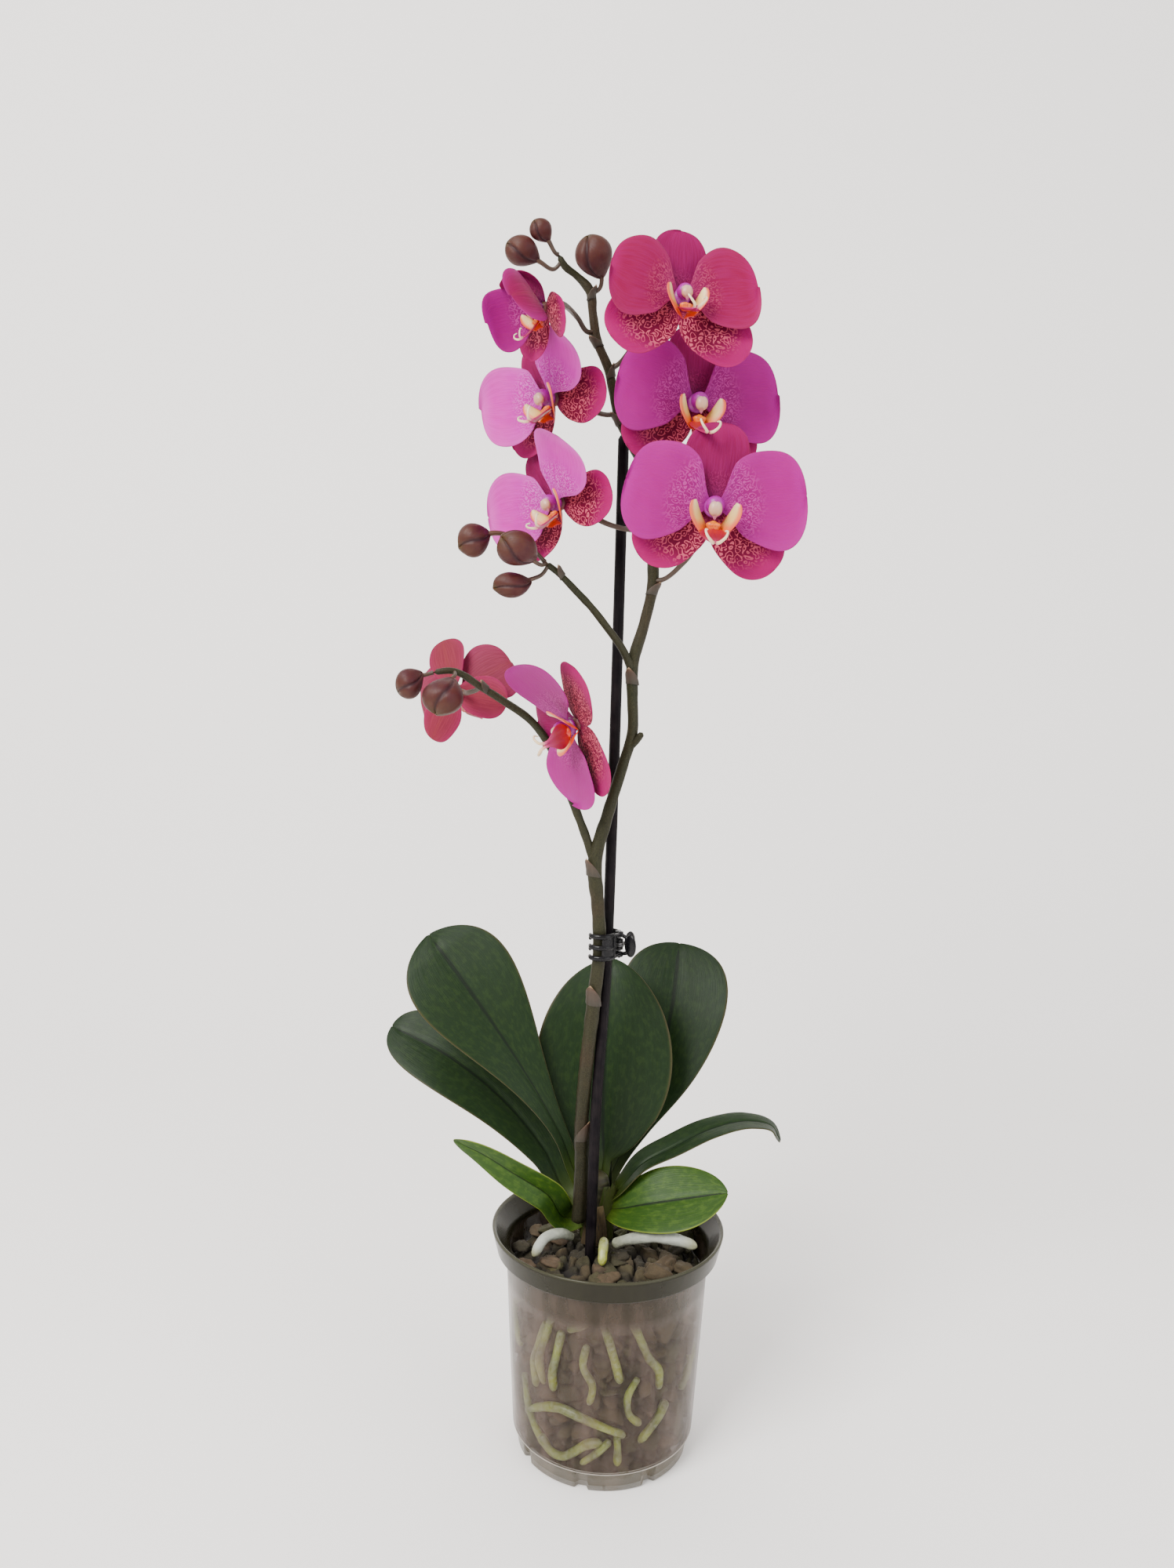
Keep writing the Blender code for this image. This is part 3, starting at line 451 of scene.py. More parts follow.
petalFinish = tepalMaterial("petal", petalLook)
shadedPetalFinish = tepalMaterial("shadedPetal", shadedPetalLook)
litPetalFinish = tepalMaterial("brightPetal", litPetalLook)
dorsalFinish = tepalMaterial("dorsalSepal", dorsalLook)
lateralFinish = tepalMaterial("lateralSepal", lateralLook)
lobeFinish = lobeMaterial()
budFinish = budMaterial()
waxy = {"Roughness": 0.38, "Subsurface Weight": 0.12, "Subsurface Scale": 0.0015, "Coat Weight": 0.12}
middleFinish = gradientMaterial("middleLobe", [(0.0, 206, 92, 20), (0.16, 160, 14, 24), (0.5, 138, 0, 44),
                                               (0.85, 156, 8, 86), (1.0, 200, 90, 136)], waxy, 0.55)
tendrilFinish = gradientMaterial("tendril", [(0.0, 214, 120, 140), (0.3, 240, 214, 180),
                                             (1.0, 246, 232, 206)], waxy, 0.1)
columnFinish = gradientMaterial("column", [(0.0, 130, 0, 116), (0.45, 146, 16, 136), (0.8, 146, 20, 136),
                                           (1.0, 156, 50, 132)], waxy, 0.2)
capFinish = gradientMaterial("antherCap", [(0.0, 188, 110, 160), (0.25, 208, 176, 160),
                                           (0.65, 196, 152, 130), (1.0, 160, 70, 110)], waxy, 0.3,
                             srgb(170, 120, 130))
callusFinish = gradientMaterial("callus", [(0.0, 236, 150, 40), (0.6, 230, 120, 30), (1.0, 200, 50, 30)],
                                waxy, 0.8, srgb(150, 10, 20))
pedicelFinish = gradientMaterial("pedicel", [(0.0, 56, 42, 30), (0.5, 66, 46, 34), (0.85, 88, 60, 44),
                                             (1.0, 112, 50, 56)],
                                 {"Roughness": 0.5, "Coat Weight": 0.08}, 0.5, srgb(62, 46, 36))


spikeRoute = [(-15.5, -3.0, 118.0, 3.6), (-14.5, -2.0, 147.0, 3.6), (-15.0, -3.0, 166.5, 3.7),
              (-13.6, -8.0, 203.0, 3.5), (-10.5, -11.0, 240.5, 3.4), (-8.5, -12.0, 269.0, 3.3),
              (-10.0, -11.5, 289.0, 3.3), (-12.0, -10.5, 309.0, 3.6), (-6.5, -10.5, 333.0, 2.9),
              (0.5, -10.5, 358.5, 2.7), (4.5, -11.0, 374.0, 2.7), (4.0, -12.0, 391.0, 2.6),
              (3.5, -13.0, 406.5, 3.0), (8.5, -14.0, 427.0, 2.6), (12.0, -15.0, 446.0, 2.8),
              (11.0, -15.0, 462.5, 2.5), (9.0, -14.0, 484.5, 2.4), (5.5, -13.0, 501.0, 2.4),
              (-1.0, -11.0, 513.0, 2.3), (-6.0, -10.0, 523.0, 2.5), (-9.0, -11.0, 533.5, 2.2),
              (-12.0, -12.0, 545.5, 2.2), (-17.5, -13.0, 557.5, 2.2), (-20.0, -14.0, 570.0, 2.1),
              (-21.5, -15.0, 579.5, 2.3), (-28.0, -16.0, 586.0, 1.7), (-33.5, -18.0, 589.5, 1.6),
              (-36.5, -19.6, 594.0, 1.3)]
lowerBranch = [(-11.5, -10.5, 307.0, 2.2), (-17.5, -10.0, 324.0, 2.1), (-22.5, -8.0, 336.0, 2.1),
               (-29.0, -4.0, 351.0, 2.1), (-36.5, 0.0, 366.5, 2.0), (-44.5, 0.0, 377.0, 2.0),
               (-59.5, -6.0, 388.0, 1.9), (-69.0, -10.0, 394.0, 1.8), (-84.0, -15.0, 402.0, 1.6),
               (-92.0, -16.0, 401.0, 1.4)]
middleBranch = [(3.5, -13.5, 404.5, 2.2), (-2.0, -19.0, 415.0, 1.9), (-9.0, -23.0, 424.0, 1.8),
                (-16.5, -25.0, 433.0, 1.8), (-24.5, -27.0, 441.0, 1.7), (-33.0, -29.0, 449.0, 1.5),
                (-38.5, -30.0, 453.0, 1.4)]


stemPoints = np.vstack([smoothPath(knots, 300)[:, :3] for knots in (spikeRoute, lowerBranch, middleBranch)])


def rooted(stalk):
    # the stalk's knots with the stem's nearest point put first
    nearest = stemPoints[np.argmin(np.linalg.norm(stemPoints - np.array(stalk[0]), axis=1))]
    return [tuple(nearest), *stalk]


# hub, turn about Z, nod, roll, size, spread of the tepals towards the face, further forward curl of the
# dorsal sepal and of each petal, knots of the stalk to the hub's back
flowers = {
    "flower_1": ((17.7, -60.0, 564.3), 14.0, -12.0, 3.0, 0.83, 0.10, (0.0, 0.0, 0.0),
                 [(-8.6, -13.2, 546.5), (0.0, -22.0, 555.0), (12.0, -42.0, 562.0)]),
    "flower_2": ((27.6, -36.0, 525.5), 12.0, 0.0, 3.0, 0.95, 0.0, (0.0, 0.0, 0.0),
                 [(9.0, -14.0, 501.0), (17.0, -14.0, 512.0), (24.0, -20.0, 523.0)]),
    "flower_3": ((35.3, -58.0, 477.0), 0.0, 0.0, 4.0, 1.0, 0.0, (0.0, 0.0, 0.0),
                 [(15.4, -17.0, 447.5), (26.0, -24.0, 456.0), (33.5, -38.0, 471.0)]),
    "flower_4": ((-42.5, -51.0, 561.5), -54.0, 20.0, -16.0, 0.62, 0.30, (22.0, 32.0, 28.0),
                 [(-21.9, -14.4, 561.3), (-27.0, -18.0, 566.5), (-34.0, -36.0, 567.5)]),
    "flower_5": ((-38.0, -24.0, 528.5), -42.0, 2.0, -30.0, 0.86, 0.04, (0.0, 12.0, 15.0),
                 [(-10.4, -10.6, 524.7), (-18.0, -9.5, 526.0), (-28.0, -13.0, 529.0)]),
    "flower_6": ((-34.0, -22.0, 481.5), -42.0, 2.0, -34.0, 0.86, 0.04, (0.0, 12.0, 15.0),
                 [(7.0, -13.5, 470.5), (-10.0, -9.0, 474.0), (-24.0, -11.0, 480.0)]),
    "flower_7": ((-24.0, -27.0, 378.0), -61.0, 18.0, -90.0, 0.98, 0.14, (0.0, -2.0, 12.0),
                 [(-31.0, 1.4, 360.5), (-25.0, 3.8, 360.5), (-13.5, -6.0, 367.0)]),
    "flower_8": ((-84.0, 15.0, 391.5), 157.0, 7.0, 24.0, 0.74, 0.12, (3.0, 8.0, 8.0),
                 [(-72.0, -8.0, 393.0), (-76.0, -4.0, 391.5), (-80.0, 6.0, 391.0)]),
}
# angle from the flower's X, length, width, lean, curl, cup, fullness above, below and at the tip, offset,
# ripple
tepals = {
    "dorsalSepal": (90.0, 36.0, 28.5, -0.06, 0.0, 0.5, 0.75, 0.75, 0.42, -0.3, 0.5),
    "leftSepal": (214.0, 37.0, 28.5, -0.04, 0.5, 0.4, 0.52, 0.52, 0.42, 0.0, 0.5),
    "rightSepal": (322.0, 37.0, 28.5, -0.02, 0.5, 0.4, 0.52, 0.52, 0.42, 0.3, 0.5),
    "leftPetal": (168.0, 39.0, 43.5, 0.06, -2.0, 1.5, 0.60, 0.78, 0.40, -0.15, 1.1),
    "rightPetal": (12.0, 39.0, 43.5, 0.06, -2.0, 1.5, 0.60, 0.78, 0.40, 0.15, 1.1),
}
# degrees that a tepal stands away from its usual place
sideTurns = {"leftPetal": -12.0, "rightPetal": 14.0, "leftSepal": -26.0, "rightSepal": 8.0}
tepalTurns = {(flower, key): angle for flower in ("flower_5", "flower_6") for key, angle in sideTurns.items()}
# length and width against the usual
tepalGrowth = {("flower_1", key): 1.18 for key in ("leftSepal", "rightSepal")}
# flower_1 and flower_8 take the shaded petal copy, flower_5 and flower_6 the lit one
petalFinishes = {"flower_1": shadedPetalFinish, "flower_8": shadedPetalFinish,
                 "flower_5": litPetalFinish, "flower_6": litPetalFinish}
whorlOffset = 2.2
lipShape = {
    "lobeBase": (2.2, -7.0, -13.0), "lobeFlare": 6.6, "lobeHeight": 14.5, "lobeHalf": 4.5,
    "middleStart": -7.5, "middleLength": 19.0, "middleDrop": 8.5, "middleHalf": 5.2,
    "tendril": [(0.6, -25.0, -17.6), (1.8, -28.2, -17.4), (3.9, -28.9, -15.2), (4.6, -27.0, -12.6),
                (3.6, -25.2, -12.4)],
}


def turned(turn, nod, roll):
    spin = Matrix.Rotation(math.radians(turn), 3, "Z") @ Matrix.Rotation(math.radians(nod), 3, "X")
    return np.array(spin @ Matrix.Rotation(math.radians(roll), 3, "Y"))


def bladeWidth(u, base, tip, claw=0.20, end=0.04):
    # u^base (1-u)^tip scaled to 1 at its peak, never thinner than the claw
    peak = base / (base + tip)
    body = u ** base * np.clip(1 - u, 0, 1) ** tip / (peak ** base * (1 - peak) ** tip)
    return np.sqrt(body ** 2 + (claw * (1 - u) + end * u) ** 2)


def tepal(flower, key, material, home):
    hub, turn, nod, roll, size, spread, curls, _ = flowers[flower]
    angle, length, width, lean, curl, cup, shoulder, base, tip, offset, ripple = tepals[key]
    curl += {"dorsalSepal": curls[0], "leftPetal": curls[1], "rightPetal": curls[2]}.get(key, 0.0)
    angle += tepalTurns.get((flower, key), 0.0)
    size *= tepalGrowth.get((flower, key), 1.0)
    spin = turned(turn, nod, roll)
    out = np.array([math.cos(math.radians(angle)), 0.0, math.sin(math.radians(angle))])
    side = np.array([-out[2], 0.0, out[0]])
    slant = lean + spread
    bend = 2 * curl / length + 0.001
    neck = 0.62 if "Petal" in key else 0.1
    forward = (whorlOffset if "Petal" in key else -whorlOffset) + offset
    phase = sum(ord(letter) for letter in flower + key) % 7

    def surface(u, v):
        half = 0.5 * width * size * bladeWidth(u, np.where(v * side[2] > 0, shoulder, base), tip)
        half = half * (1 - neck * (1 - step(0.0, 0.27, u)))
        half = half * (1 + 0.035 * np.sin(8 * u + phase + 2 * np.sign(v)))
        edge = np.abs(v)
        crease = -0.5 * bump(0.0, 0.10, v) * (1 - u) + 0.25 * bump(0.0, 0.3, v) * u
        wave = ripple * edge ** 3 * u * np.sin(7.0 * u + 1.7 * np.sign(v) + phase)
        lift = (math.cos(slant) - np.cos(slant + bend * u)) * length / bend + cup * v * v * u + crease + wave
        lift = forward + lift * size
        reach = 1.5 + (np.sin(slant + bend * u) - math.sin(slant)) * length * size / bend
        local = out * reach[..., None] + side * (v * half)[..., None] - np.array([0, 1, 0]) * lift[..., None]
        return np.array(hub) + local @ spin.T

    name = flower + key[0].upper() + key[1:]
    blade(name, surface, 0.75, 34, 20, material, home, (width * size, length * size))


def ellipsoidRings(centre, radii, rows=14, around=20, spin=None, shape=None):
    # rings of a ball from pole to pole, stretched and turned; shape(polar, turn) scales it
    polar = np.linspace(0.02, pi - 0.02, rows)[:, None]
    turn = np.arange(around)[None, :] / around * 2 * pi
    grow = 1.0 if shape is None else shape(polar, turn)
    local = np.stack([np.sin(polar) * np.cos(turn) * grow, np.sin(polar) * np.sin(turn) * grow,
                      np.cos(polar) * grow + 0 * turn], axis=-1) * np.array(radii)
    if spin is not None:
        local = local @ spin.T
    marks = {"along": polar / pi + 0 * turn, "turn": turn + 0 * polar}
    girth = np.abs(turn - pi) * np.sin(polar) * radii[0]
    uv = np.stack([girth, polar / pi * 2 * radii[2] + 0 * turn], axis=-1)
    return np.array(centre) + local, marks, uv


def buildLip(flower, spin, hub, size):
    home = ("plant", "lip", [f"{flower}_lip"])
    shape = lipShape

    def world(x, y, z):
        return hub + (np.stack(np.broadcast_arrays(x, y, z), axis=-1) * size) @ spin.T

    for label, sign in (("Left", -1.0), ("Right", 1.0)):
        def lobe(u, v, sign=sign):
            # rises and flares like a bracket, its front edge turned outwards, hollow towards the column
            half = shape["lobeHalf"] * np.sin(pi * np.clip(0.16 + 0.80 * u, 0, 1)) ** 0.7 + 0.3
            flare = shape["lobeFlare"] * np.sin(1.45 * u)
            x = shape["lobeBase"][0] + flare + 0.66 * v * half + 1.1 * v * v * u
            y = shape["lobeBase"][1] - 4.0 * u - 0.72 * v * half
            z = shape["lobeBase"][2] + shape["lobeHeight"] * u - 0.8 * v * v
            return world(sign * x, y, z)
        blade(f"{flower}LobeOf{label}", lobe, 0.8 * size, 18, 9, lobeFinish, home, (7.8, 15.0))

    def middle(u, v):
        # a trowel: narrow neck, broad shoulders, narrow tip, ridged down the middle
        half = 1.6 + shape["middleHalf"] * np.sin(pi * np.clip(0.10 + 0.98 * u, 0, 1)) ** 1.4 * (1 - 0.35 * u)
        x = v * half
        y = shape["middleStart"] - shape["middleLength"] * u + 1.2 * v * v * u
        ridge = 1.2 * v * v * np.sin(pi * u) + 0.8 * bump(0, 0.25, v)
        z = -9.5 - shape["middleDrop"] * np.sin(1.45 * u) + ridge
        return world(x, y, z)
    blade(f"{flower}MiddleLobe", middle, 1.0 * size, 26, 10, middleFinish, home, (10.0, 20.0))

    for label, sign in (("Left", -1.0), ("Right", 1.0)):
        route = smoothPath([(sign * x, y, z) for x, y, z in lipShape["tendril"]], 26)
        radius = np.linspace(0.85, 0.35, 26) * size
        sweep(f"{flower}Tendril{label}", hub + (route * size) @ spin.T, radius, 10, tendrilFinish, home)

    def lumpy(polar, turn):
        return 1 + 0.22 * np.cos(2 * turn) * np.sin(polar) + 0.10 * np.cos(5 * polar)
    rings, marks, uv = ellipsoidRings((0, 0, 0), (2.6 * size, 2.6 * size, 2.2 * size), shape=lumpy)
    rings = rings @ spin.T + hub + spin @ np.array([0.0, -9.0, -9.0]) * size
    skinRings(f"{flower}Callus", rings, callusFinish, home, uv, marks)


def buildColumn(flower, spin, hub, size):
    home = ("plant", "petal", [f"{flower}_petals"])
    route = smoothPath([(0, 0.5, 0.4), (0, -4.0, 0.6), (0, -8.0, -0.2), (0, -10.6, -1.8)], 22)
    radius = (3.2 + 1.0 * bump(0.7, 0.3, np.linspace(0, 1, 22))) * size
    sweep(f"{flower}Column", hub + (route * size) @ spin.T, radius, 20, columnFinish, home, (0.2, 1.2))
    heart, marks, uv = ellipsoidRings((0, 0, 0), (4.6 * size, 2.2, 4.6 * size))
    heart = heart @ spin.T + hub + spin @ np.array([0, -whorlOffset + 0.3, 0])
    skinRings(f"{flower}Heart", heart, columnFinish, home, uv, {"along": 0.1 * marks["along"]})

    def beaked(polar, turn):
        # narrows to a beak below, with a shallow cleft down the front
        taper = 1 - 0.34 * bump(0.0, 0.9, polar) - 0.30 * step(pi * 0.5, pi * 0.9, polar)
        return (taper + 0.3 * bump(pi, 0.3, polar)) * (1 - 0.07 * bump(1.5 * pi, 0.30, turn))
    cap, marks, uv = ellipsoidRings((0, 0, 0), (3.0 * size, 2.4 * size, 4.8 * size), 24, 30, shape=beaked)
    cap = cap @ spin.T + hub + spin @ np.array([0, -10.8, -1.9]) * size
    skinRings(f"{flower}Cap", cap, capFinish, home, uv, marks)


def buildFlower(flower):
    hub, turn, nod, roll, size, _, _, stalk = flowers[flower]
    hub = np.array(hub)
    spin = turned(turn, nod, roll)
    sepalHome = ("plant", "sepal", [f"{flower}_sepals"])
    petalHome = ("plant", "petal", [f"{flower}_petals"])
    for key in tepals:
        if "Petal" in key:
            tepal(flower, key, petalFinishes.get(flower, petalFinish), petalHome)
        else:
            tepal(flower, key, dorsalFinish if key == "dorsalSepal" else lateralFinish, sepalHome)
    back = hub + spin @ np.array([0.0, whorlOffset + 1.2, 0.0])
    route = smoothPath([*rooted(stalk), tuple(back)], 40)
    t = np.linspace(0, 1, 40)
    radius = 1.15 + 0.75 * t ** 2 + 0.5 * bump(0.0, 0.05, t)

    def twist(run, angle):
        return 1 + 0.07 * np.cos(3 * angle + 0.25 * run)
    sweep(f"{flower}Pedicel", route, radius, 18, pedicelFinish, sepalHome, (0.4, 0.3), ridges=twist)
    knob, marks, uv = ellipsoidRings((0, 0, 0), (3.6 * size, 2.4, 3.6 * size))
    knob = knob @ spin.T + hub + spin @ np.array([0, whorlOffset, 0])
    skinRings(f"{flower}Knob", knob, pedicelFinish, sepalHome, uv, {"along": 0.85 + 0.15 * marks["along"]})
    buildColumn(flower, spin, hub, size)
    buildLip(flower, spin, hub, size)


for flowerName in flowers:
    buildFlower(flowerName)
print("flowers done")


# centre, width, height and depth, knots of the stalk
buds = {
    "bud_1": ((-44.5, -24.0, 603.2), (10.5, 10.0, 10.0), [(-37.0, -20.0, 594.0), (-41.0, -22.0, 599.0)]),
    "bud_2": ((-53.3, -22.0, 594.4), (15.1, 13.6, 13.6), [(-38.5, -18.0, 588.0), (-45.0, -20.0, 590.5)]),
    "bud_3": ((-19.9, -20.0, 594.0), (17.6, 17.6, 16.0), [(-17.2, -15.4, 580.6), (-16.4, -17.5, 585.5)]),
    "bud_4": ((-51.5, -42.0, 458.9), (18.5, 16.5, 15.0), [(-40.5, -33.5, 452.0), (-44.0, -37.5, 453.5)]),
    "bud_5": ((-72.0, -37.0, 462.0), (14.5, 15.8, 13.5), [(-43.5, -28.5, 458.0), (-56.0, -30.0, 465.5),
                                                      (-65.0, -34.0, 465.5)]),
    "bud_6": ((-54.5, -34.0, 442.5), (17.0, 12.0, 12.0), [(-40.5, -29.0, 448.0), (-45.5, -31.0, 445.5)]),
    "bud_7": ((-86.0, -25.5, 389.5), (20.0, 17.5, 16.0), [(-81.5, -19.0, 400.0), (-83.0, -22.5, 397.5)]),
    "bud_8": ((-103.4, -18.0, 395.4), (13.0, 15.0, 13.0), [(-95.0, -16.5, 400.0), (-98.5, -17.5, 399.0)]),
}


def buildBud(name):
    centre, (width, height, depth), stalk = buds[name]
    centre = np.array(centre)
    home = ("plant", "bud", [name])
    axis = unit(centre - np.array(stalk[-1]))
    side = unit(np.cross(axis, [0.3, 1.0, 0.1]))
    basis = np.stack([side, np.cross(axis, side), -axis], axis=1)
    seamTurns = [1.3, 1.3 + 2 * pi / 3, 1.3 + 4 * pi / 3]

    def seams(polar, turn):
        # three closed sepals meet in creases that run from tip to stalk
        away = [np.angle(np.exp(1j * (turn - at + 0.3 * np.cos(polar)))) for at in seamTurns]
        return sum(bump(0.0, 0.13, angle) for angle in away) * np.sin(polar) ** 0.4

    def budShape(polar, turn):
        point = 1 + 0.17 * bump(0.0, 0.35, polar) - 0.05 * bump(1.0, 0.5, polar)
        return point * (1 - 0.11 * seams(polar, turn)) * (1 + 0.04 * np.cos(3 * turn - 1.5))
    rings, marks, uv = ellipsoidRings((0, 0, 0), (1.0, 1.0, 1.0), 40, 72, basis, budShape)
    polar, turn = marks["along"] * pi, marks["turn"]
    rings = centre + rings * np.array([width, depth, height]) / 2
    # the seam mask shapes the creases and carries their painted shade in the bud finish
    marks["seamAndShade"] = seams(polar, turn)
    marks["along"] = 1 - marks["along"]
    skinRings(name + "Body", rings, budFinish, home, uv * width / 2, marks)
    route = smoothPath([*rooted(stalk), tuple(centre - axis * 0.30 * width)], 30)
    t = np.linspace(0, 1, 30)
    radius = 0.95 + 0.5 * t ** 3 + 0.4 * bump(0, 0.06, t)
    sweep(name + "Pedicel", route, radius, 16, pedicelFinish, home, (0.4, 0.4))


for budName in buds:
    buildBud(budName)
print("buds done")


# where each bract sits, the way up the stem, the side it clasps, stem radius and bract length
bracts = [((-15.0, -3.0, 164.0), (0.0, 0.0, 1.0), (0.7, -0.7, 0.0), 3.9, 11.0),
          ((-10.6, -10.9, 238.0), (0.07, -0.1, 1.0), (-0.5, -0.85, 0.0), 3.7, 11.0),
          ((-12.1, -10.6, 303.0), (0.0, 0.0, 1.0), (-0.8, -0.6, 0.0), 3.6, 9.0),
          ((3.9, -12.6, 398.0), (0.0, 0.0, 1.0), (-0.5, -0.85, 0.0), 2.9, 8.0),
          ((11.0, -14.8, 441.0), (0.2, 0.0, 1.0), (0.8, -0.6, 0.0), 2.8, 7.0),
          ((10.5, -14.8, 466.0), (-0.1, 0.0, 1.0), (-0.7, -0.7, 0.0), 2.6, 7.0),
          ((6.5, -13.3, 497.5), (-0.3, 0.0, 1.0), (0.8, -0.5, 0.0), 2.5, 7.0),
          ((-5.0, -10.2, 520.5), (-0.35, 0.0, 1.0), (-0.8, -0.5, -0.3), 2.5, 7.0),
          ((-11.0, -11.7, 541.5), (-0.3, -0.1, 1.0), (0.8, -0.6, 0.2), 2.3, 6.0),
          ((-16.6, -12.9, 555.5), (-0.4, -0.1, 1.0), (-0.7, -0.6, -0.3), 2.3, 6.0),
          ((-21.2, -14.8, 576.0), (-0.1, -0.1, 1.0), (0.8, -0.6, 0.0), 2.2, 6.0),
          ((-26.0, -6.0, 344.0), (-0.5, 0.3, 0.8), (0.7, -0.7, 0.1), 2.2, 7.0),
          ((-67.0, -9.2, 393.0), (-0.8, -0.3, 0.5), (0.2, -0.7, 0.7), 1.9, 6.0),
          ((-31.0, -28.5, 447.2), (-0.7, -0.2, 0.7), (0.5, -0.7, 0.4), 1.7, 6.0)]
stakeRoute = [(-9.9, -11.6, 56.0), (-9.0, -10.0, 99.0), (-7.9, -8.0, 182.0), (-4.8, -4.9, 252.0),
              (-3.9, -2.4, 324.0), (-3.6, 0.2, 395.0), (-3.5, 2.6, 480.0), (-3.5, 4.0, 520.0)]


def stemMaterial():
    # dark olive skin flushed brown, with pale specks and fine lengthwise lines
    satin = {"Roughness": 0.5, "Specular IOR Level": 0.15}
    material, tree, place, _ = startMaterial("stemSkin", satin)
    specks = useGroup(tree, grain, {"Vector": place, "Size": 1.6})
    lines = noise(tree, place, (900.0, 900.0, 60.0), 2.0)
    patch = noise(tree, place, 28.0, 2.0)
    base = ramp(tree, patch, [(0.3, 28, 32, 21), (0.5, 38, 38, 27), (0.7, 48, 38, 30)])
    height = put(tree, "SeparateXYZ", {"Vector": place}).outputs["Z"]
    foot = inverse(tree, ease(tree, height, 0.13, 0.24))
    base = wash(tree, base, foot, 0.55, srgb(16, 15, 12))
    base = wash(tree, base, ease(tree, lines, 0.4, 0.65), 0.35, srgb(28, 27, 21))
    base = wash(tree, base, specks["Fine"], 0.10, srgb(124, 118, 92))
    return dressed(material, {"Base Color": base}, lines, 0.3, 0.0003)


def bractMaterial():
    material, tree, _, uv = startMaterial("bractSkin", {"Roughness": 0.6})
    base = ramp(tree, mark(tree, "along"), [(0.0, 40, 38, 28), (0.6, 56, 46, 36),
                                            (0.88, 76, 56, 44), (1.0, 170, 146, 118)])
    lines = useGroup(tree, longVeins, {"Vector": uv, "Fineness": 2.0})["Veins"]
    base = wash(tree, base, lines, 0.4, srgb(60, 44, 34))
    return dressed(material, {"Base Color": base}, lines, 0.3, 0.0003)


def stakeMaterial():
    material, tree, place, _ = startMaterial("stakePlastic", {"Specular IOR Level": 0.07})
    ribs = noise(tree, place, (1300.0, 1300.0, 26.0), 3.0)
    ribs = ease(tree, ribs, 0.35, 0.65)
    dust = useGroup(tree, grain, {"Vector": place, "Size": 5.0})["Coarse"]
    base = wash(tree, srgb(12, 10, 13), ribs, 0.5, srgb(24, 20, 24))
    base = wash(tree, base, dust, 0.06, srgb(96, 86, 84))
    rough = calc(tree, "MULTIPLY_ADD", dust, 0.2, 0.38)
    return dressed(material, {"Base Color": base, "Roughness": rough}, ribs, 0.25, 0.0003)


stemFinish = stemMaterial()
bractFinish = bractMaterial()
spikeHome = ("plant", "stem", ["flower_spike"])


def stem(name, knots, count):
    route = smoothPath(knots, count)
    places = route[:, :3]
    rings = 1 + 0.03 * waveNoise(places, 9.0, 4)
    sweep(name, places, route[:, 3] * rings, 24, stemFinish, spikeHome, (0.6, 0.9),
          ridges=lambda run, angle: 1 + 0.02 * np.cos(5 * angle + 0.02 * run))


def bract(name, place, way, clasp, radius, length):
    # a pointed scale that clasps the stem and lifts off at its tip
    way = unit(np.array(way))
    clasp = np.array(clasp)
    clasp = unit(clasp - way * (clasp @ way))
    side = np.cross(way, clasp)

    def surface(u, v):
        angle = v * 1.9 * np.clip(1 - u, 0, 1) ** 0.7
        out = radius + 0.35 + 1.3 * u ** 2
        spot = clasp * (np.cos(angle) * out)[..., None] + side * (np.sin(angle) * out)[..., None]
        return np.array(place) + spot + way * (length * u - 0.8 * v * v)[..., None]
    blade(name, surface, 0.45, 14, 10, bractFinish, spikeHome, (8.0, length))


stem("mainStem", spikeRoute, 260)
stem("lowerBranchStem", lowerBranch, 90)
stem("middleBranchStem", middleBranch, 60)
stem("cutStub", [(3.4, -11.2, 367.0, 1.9), (6.6, -12.6, 370.5, 1.7), (9.4, -13.4, 374.5, 1.5)], 14)
for number, (place, way, clasp, radius, length) in enumerate(bracts, start=1):
    bract(f"bract{number}", place, way, clasp, radius, length)
sweep("stake", smoothPath(stakeRoute, 120), 2.75, 28, stakeMaterial(),
      ("plant", "stake_plastic", ["support_stake"]), (0.4, 0.7),
      ridges=lambda run, angle: 1 + 0.012 * np.cos(9 * angle))
print("spike done")


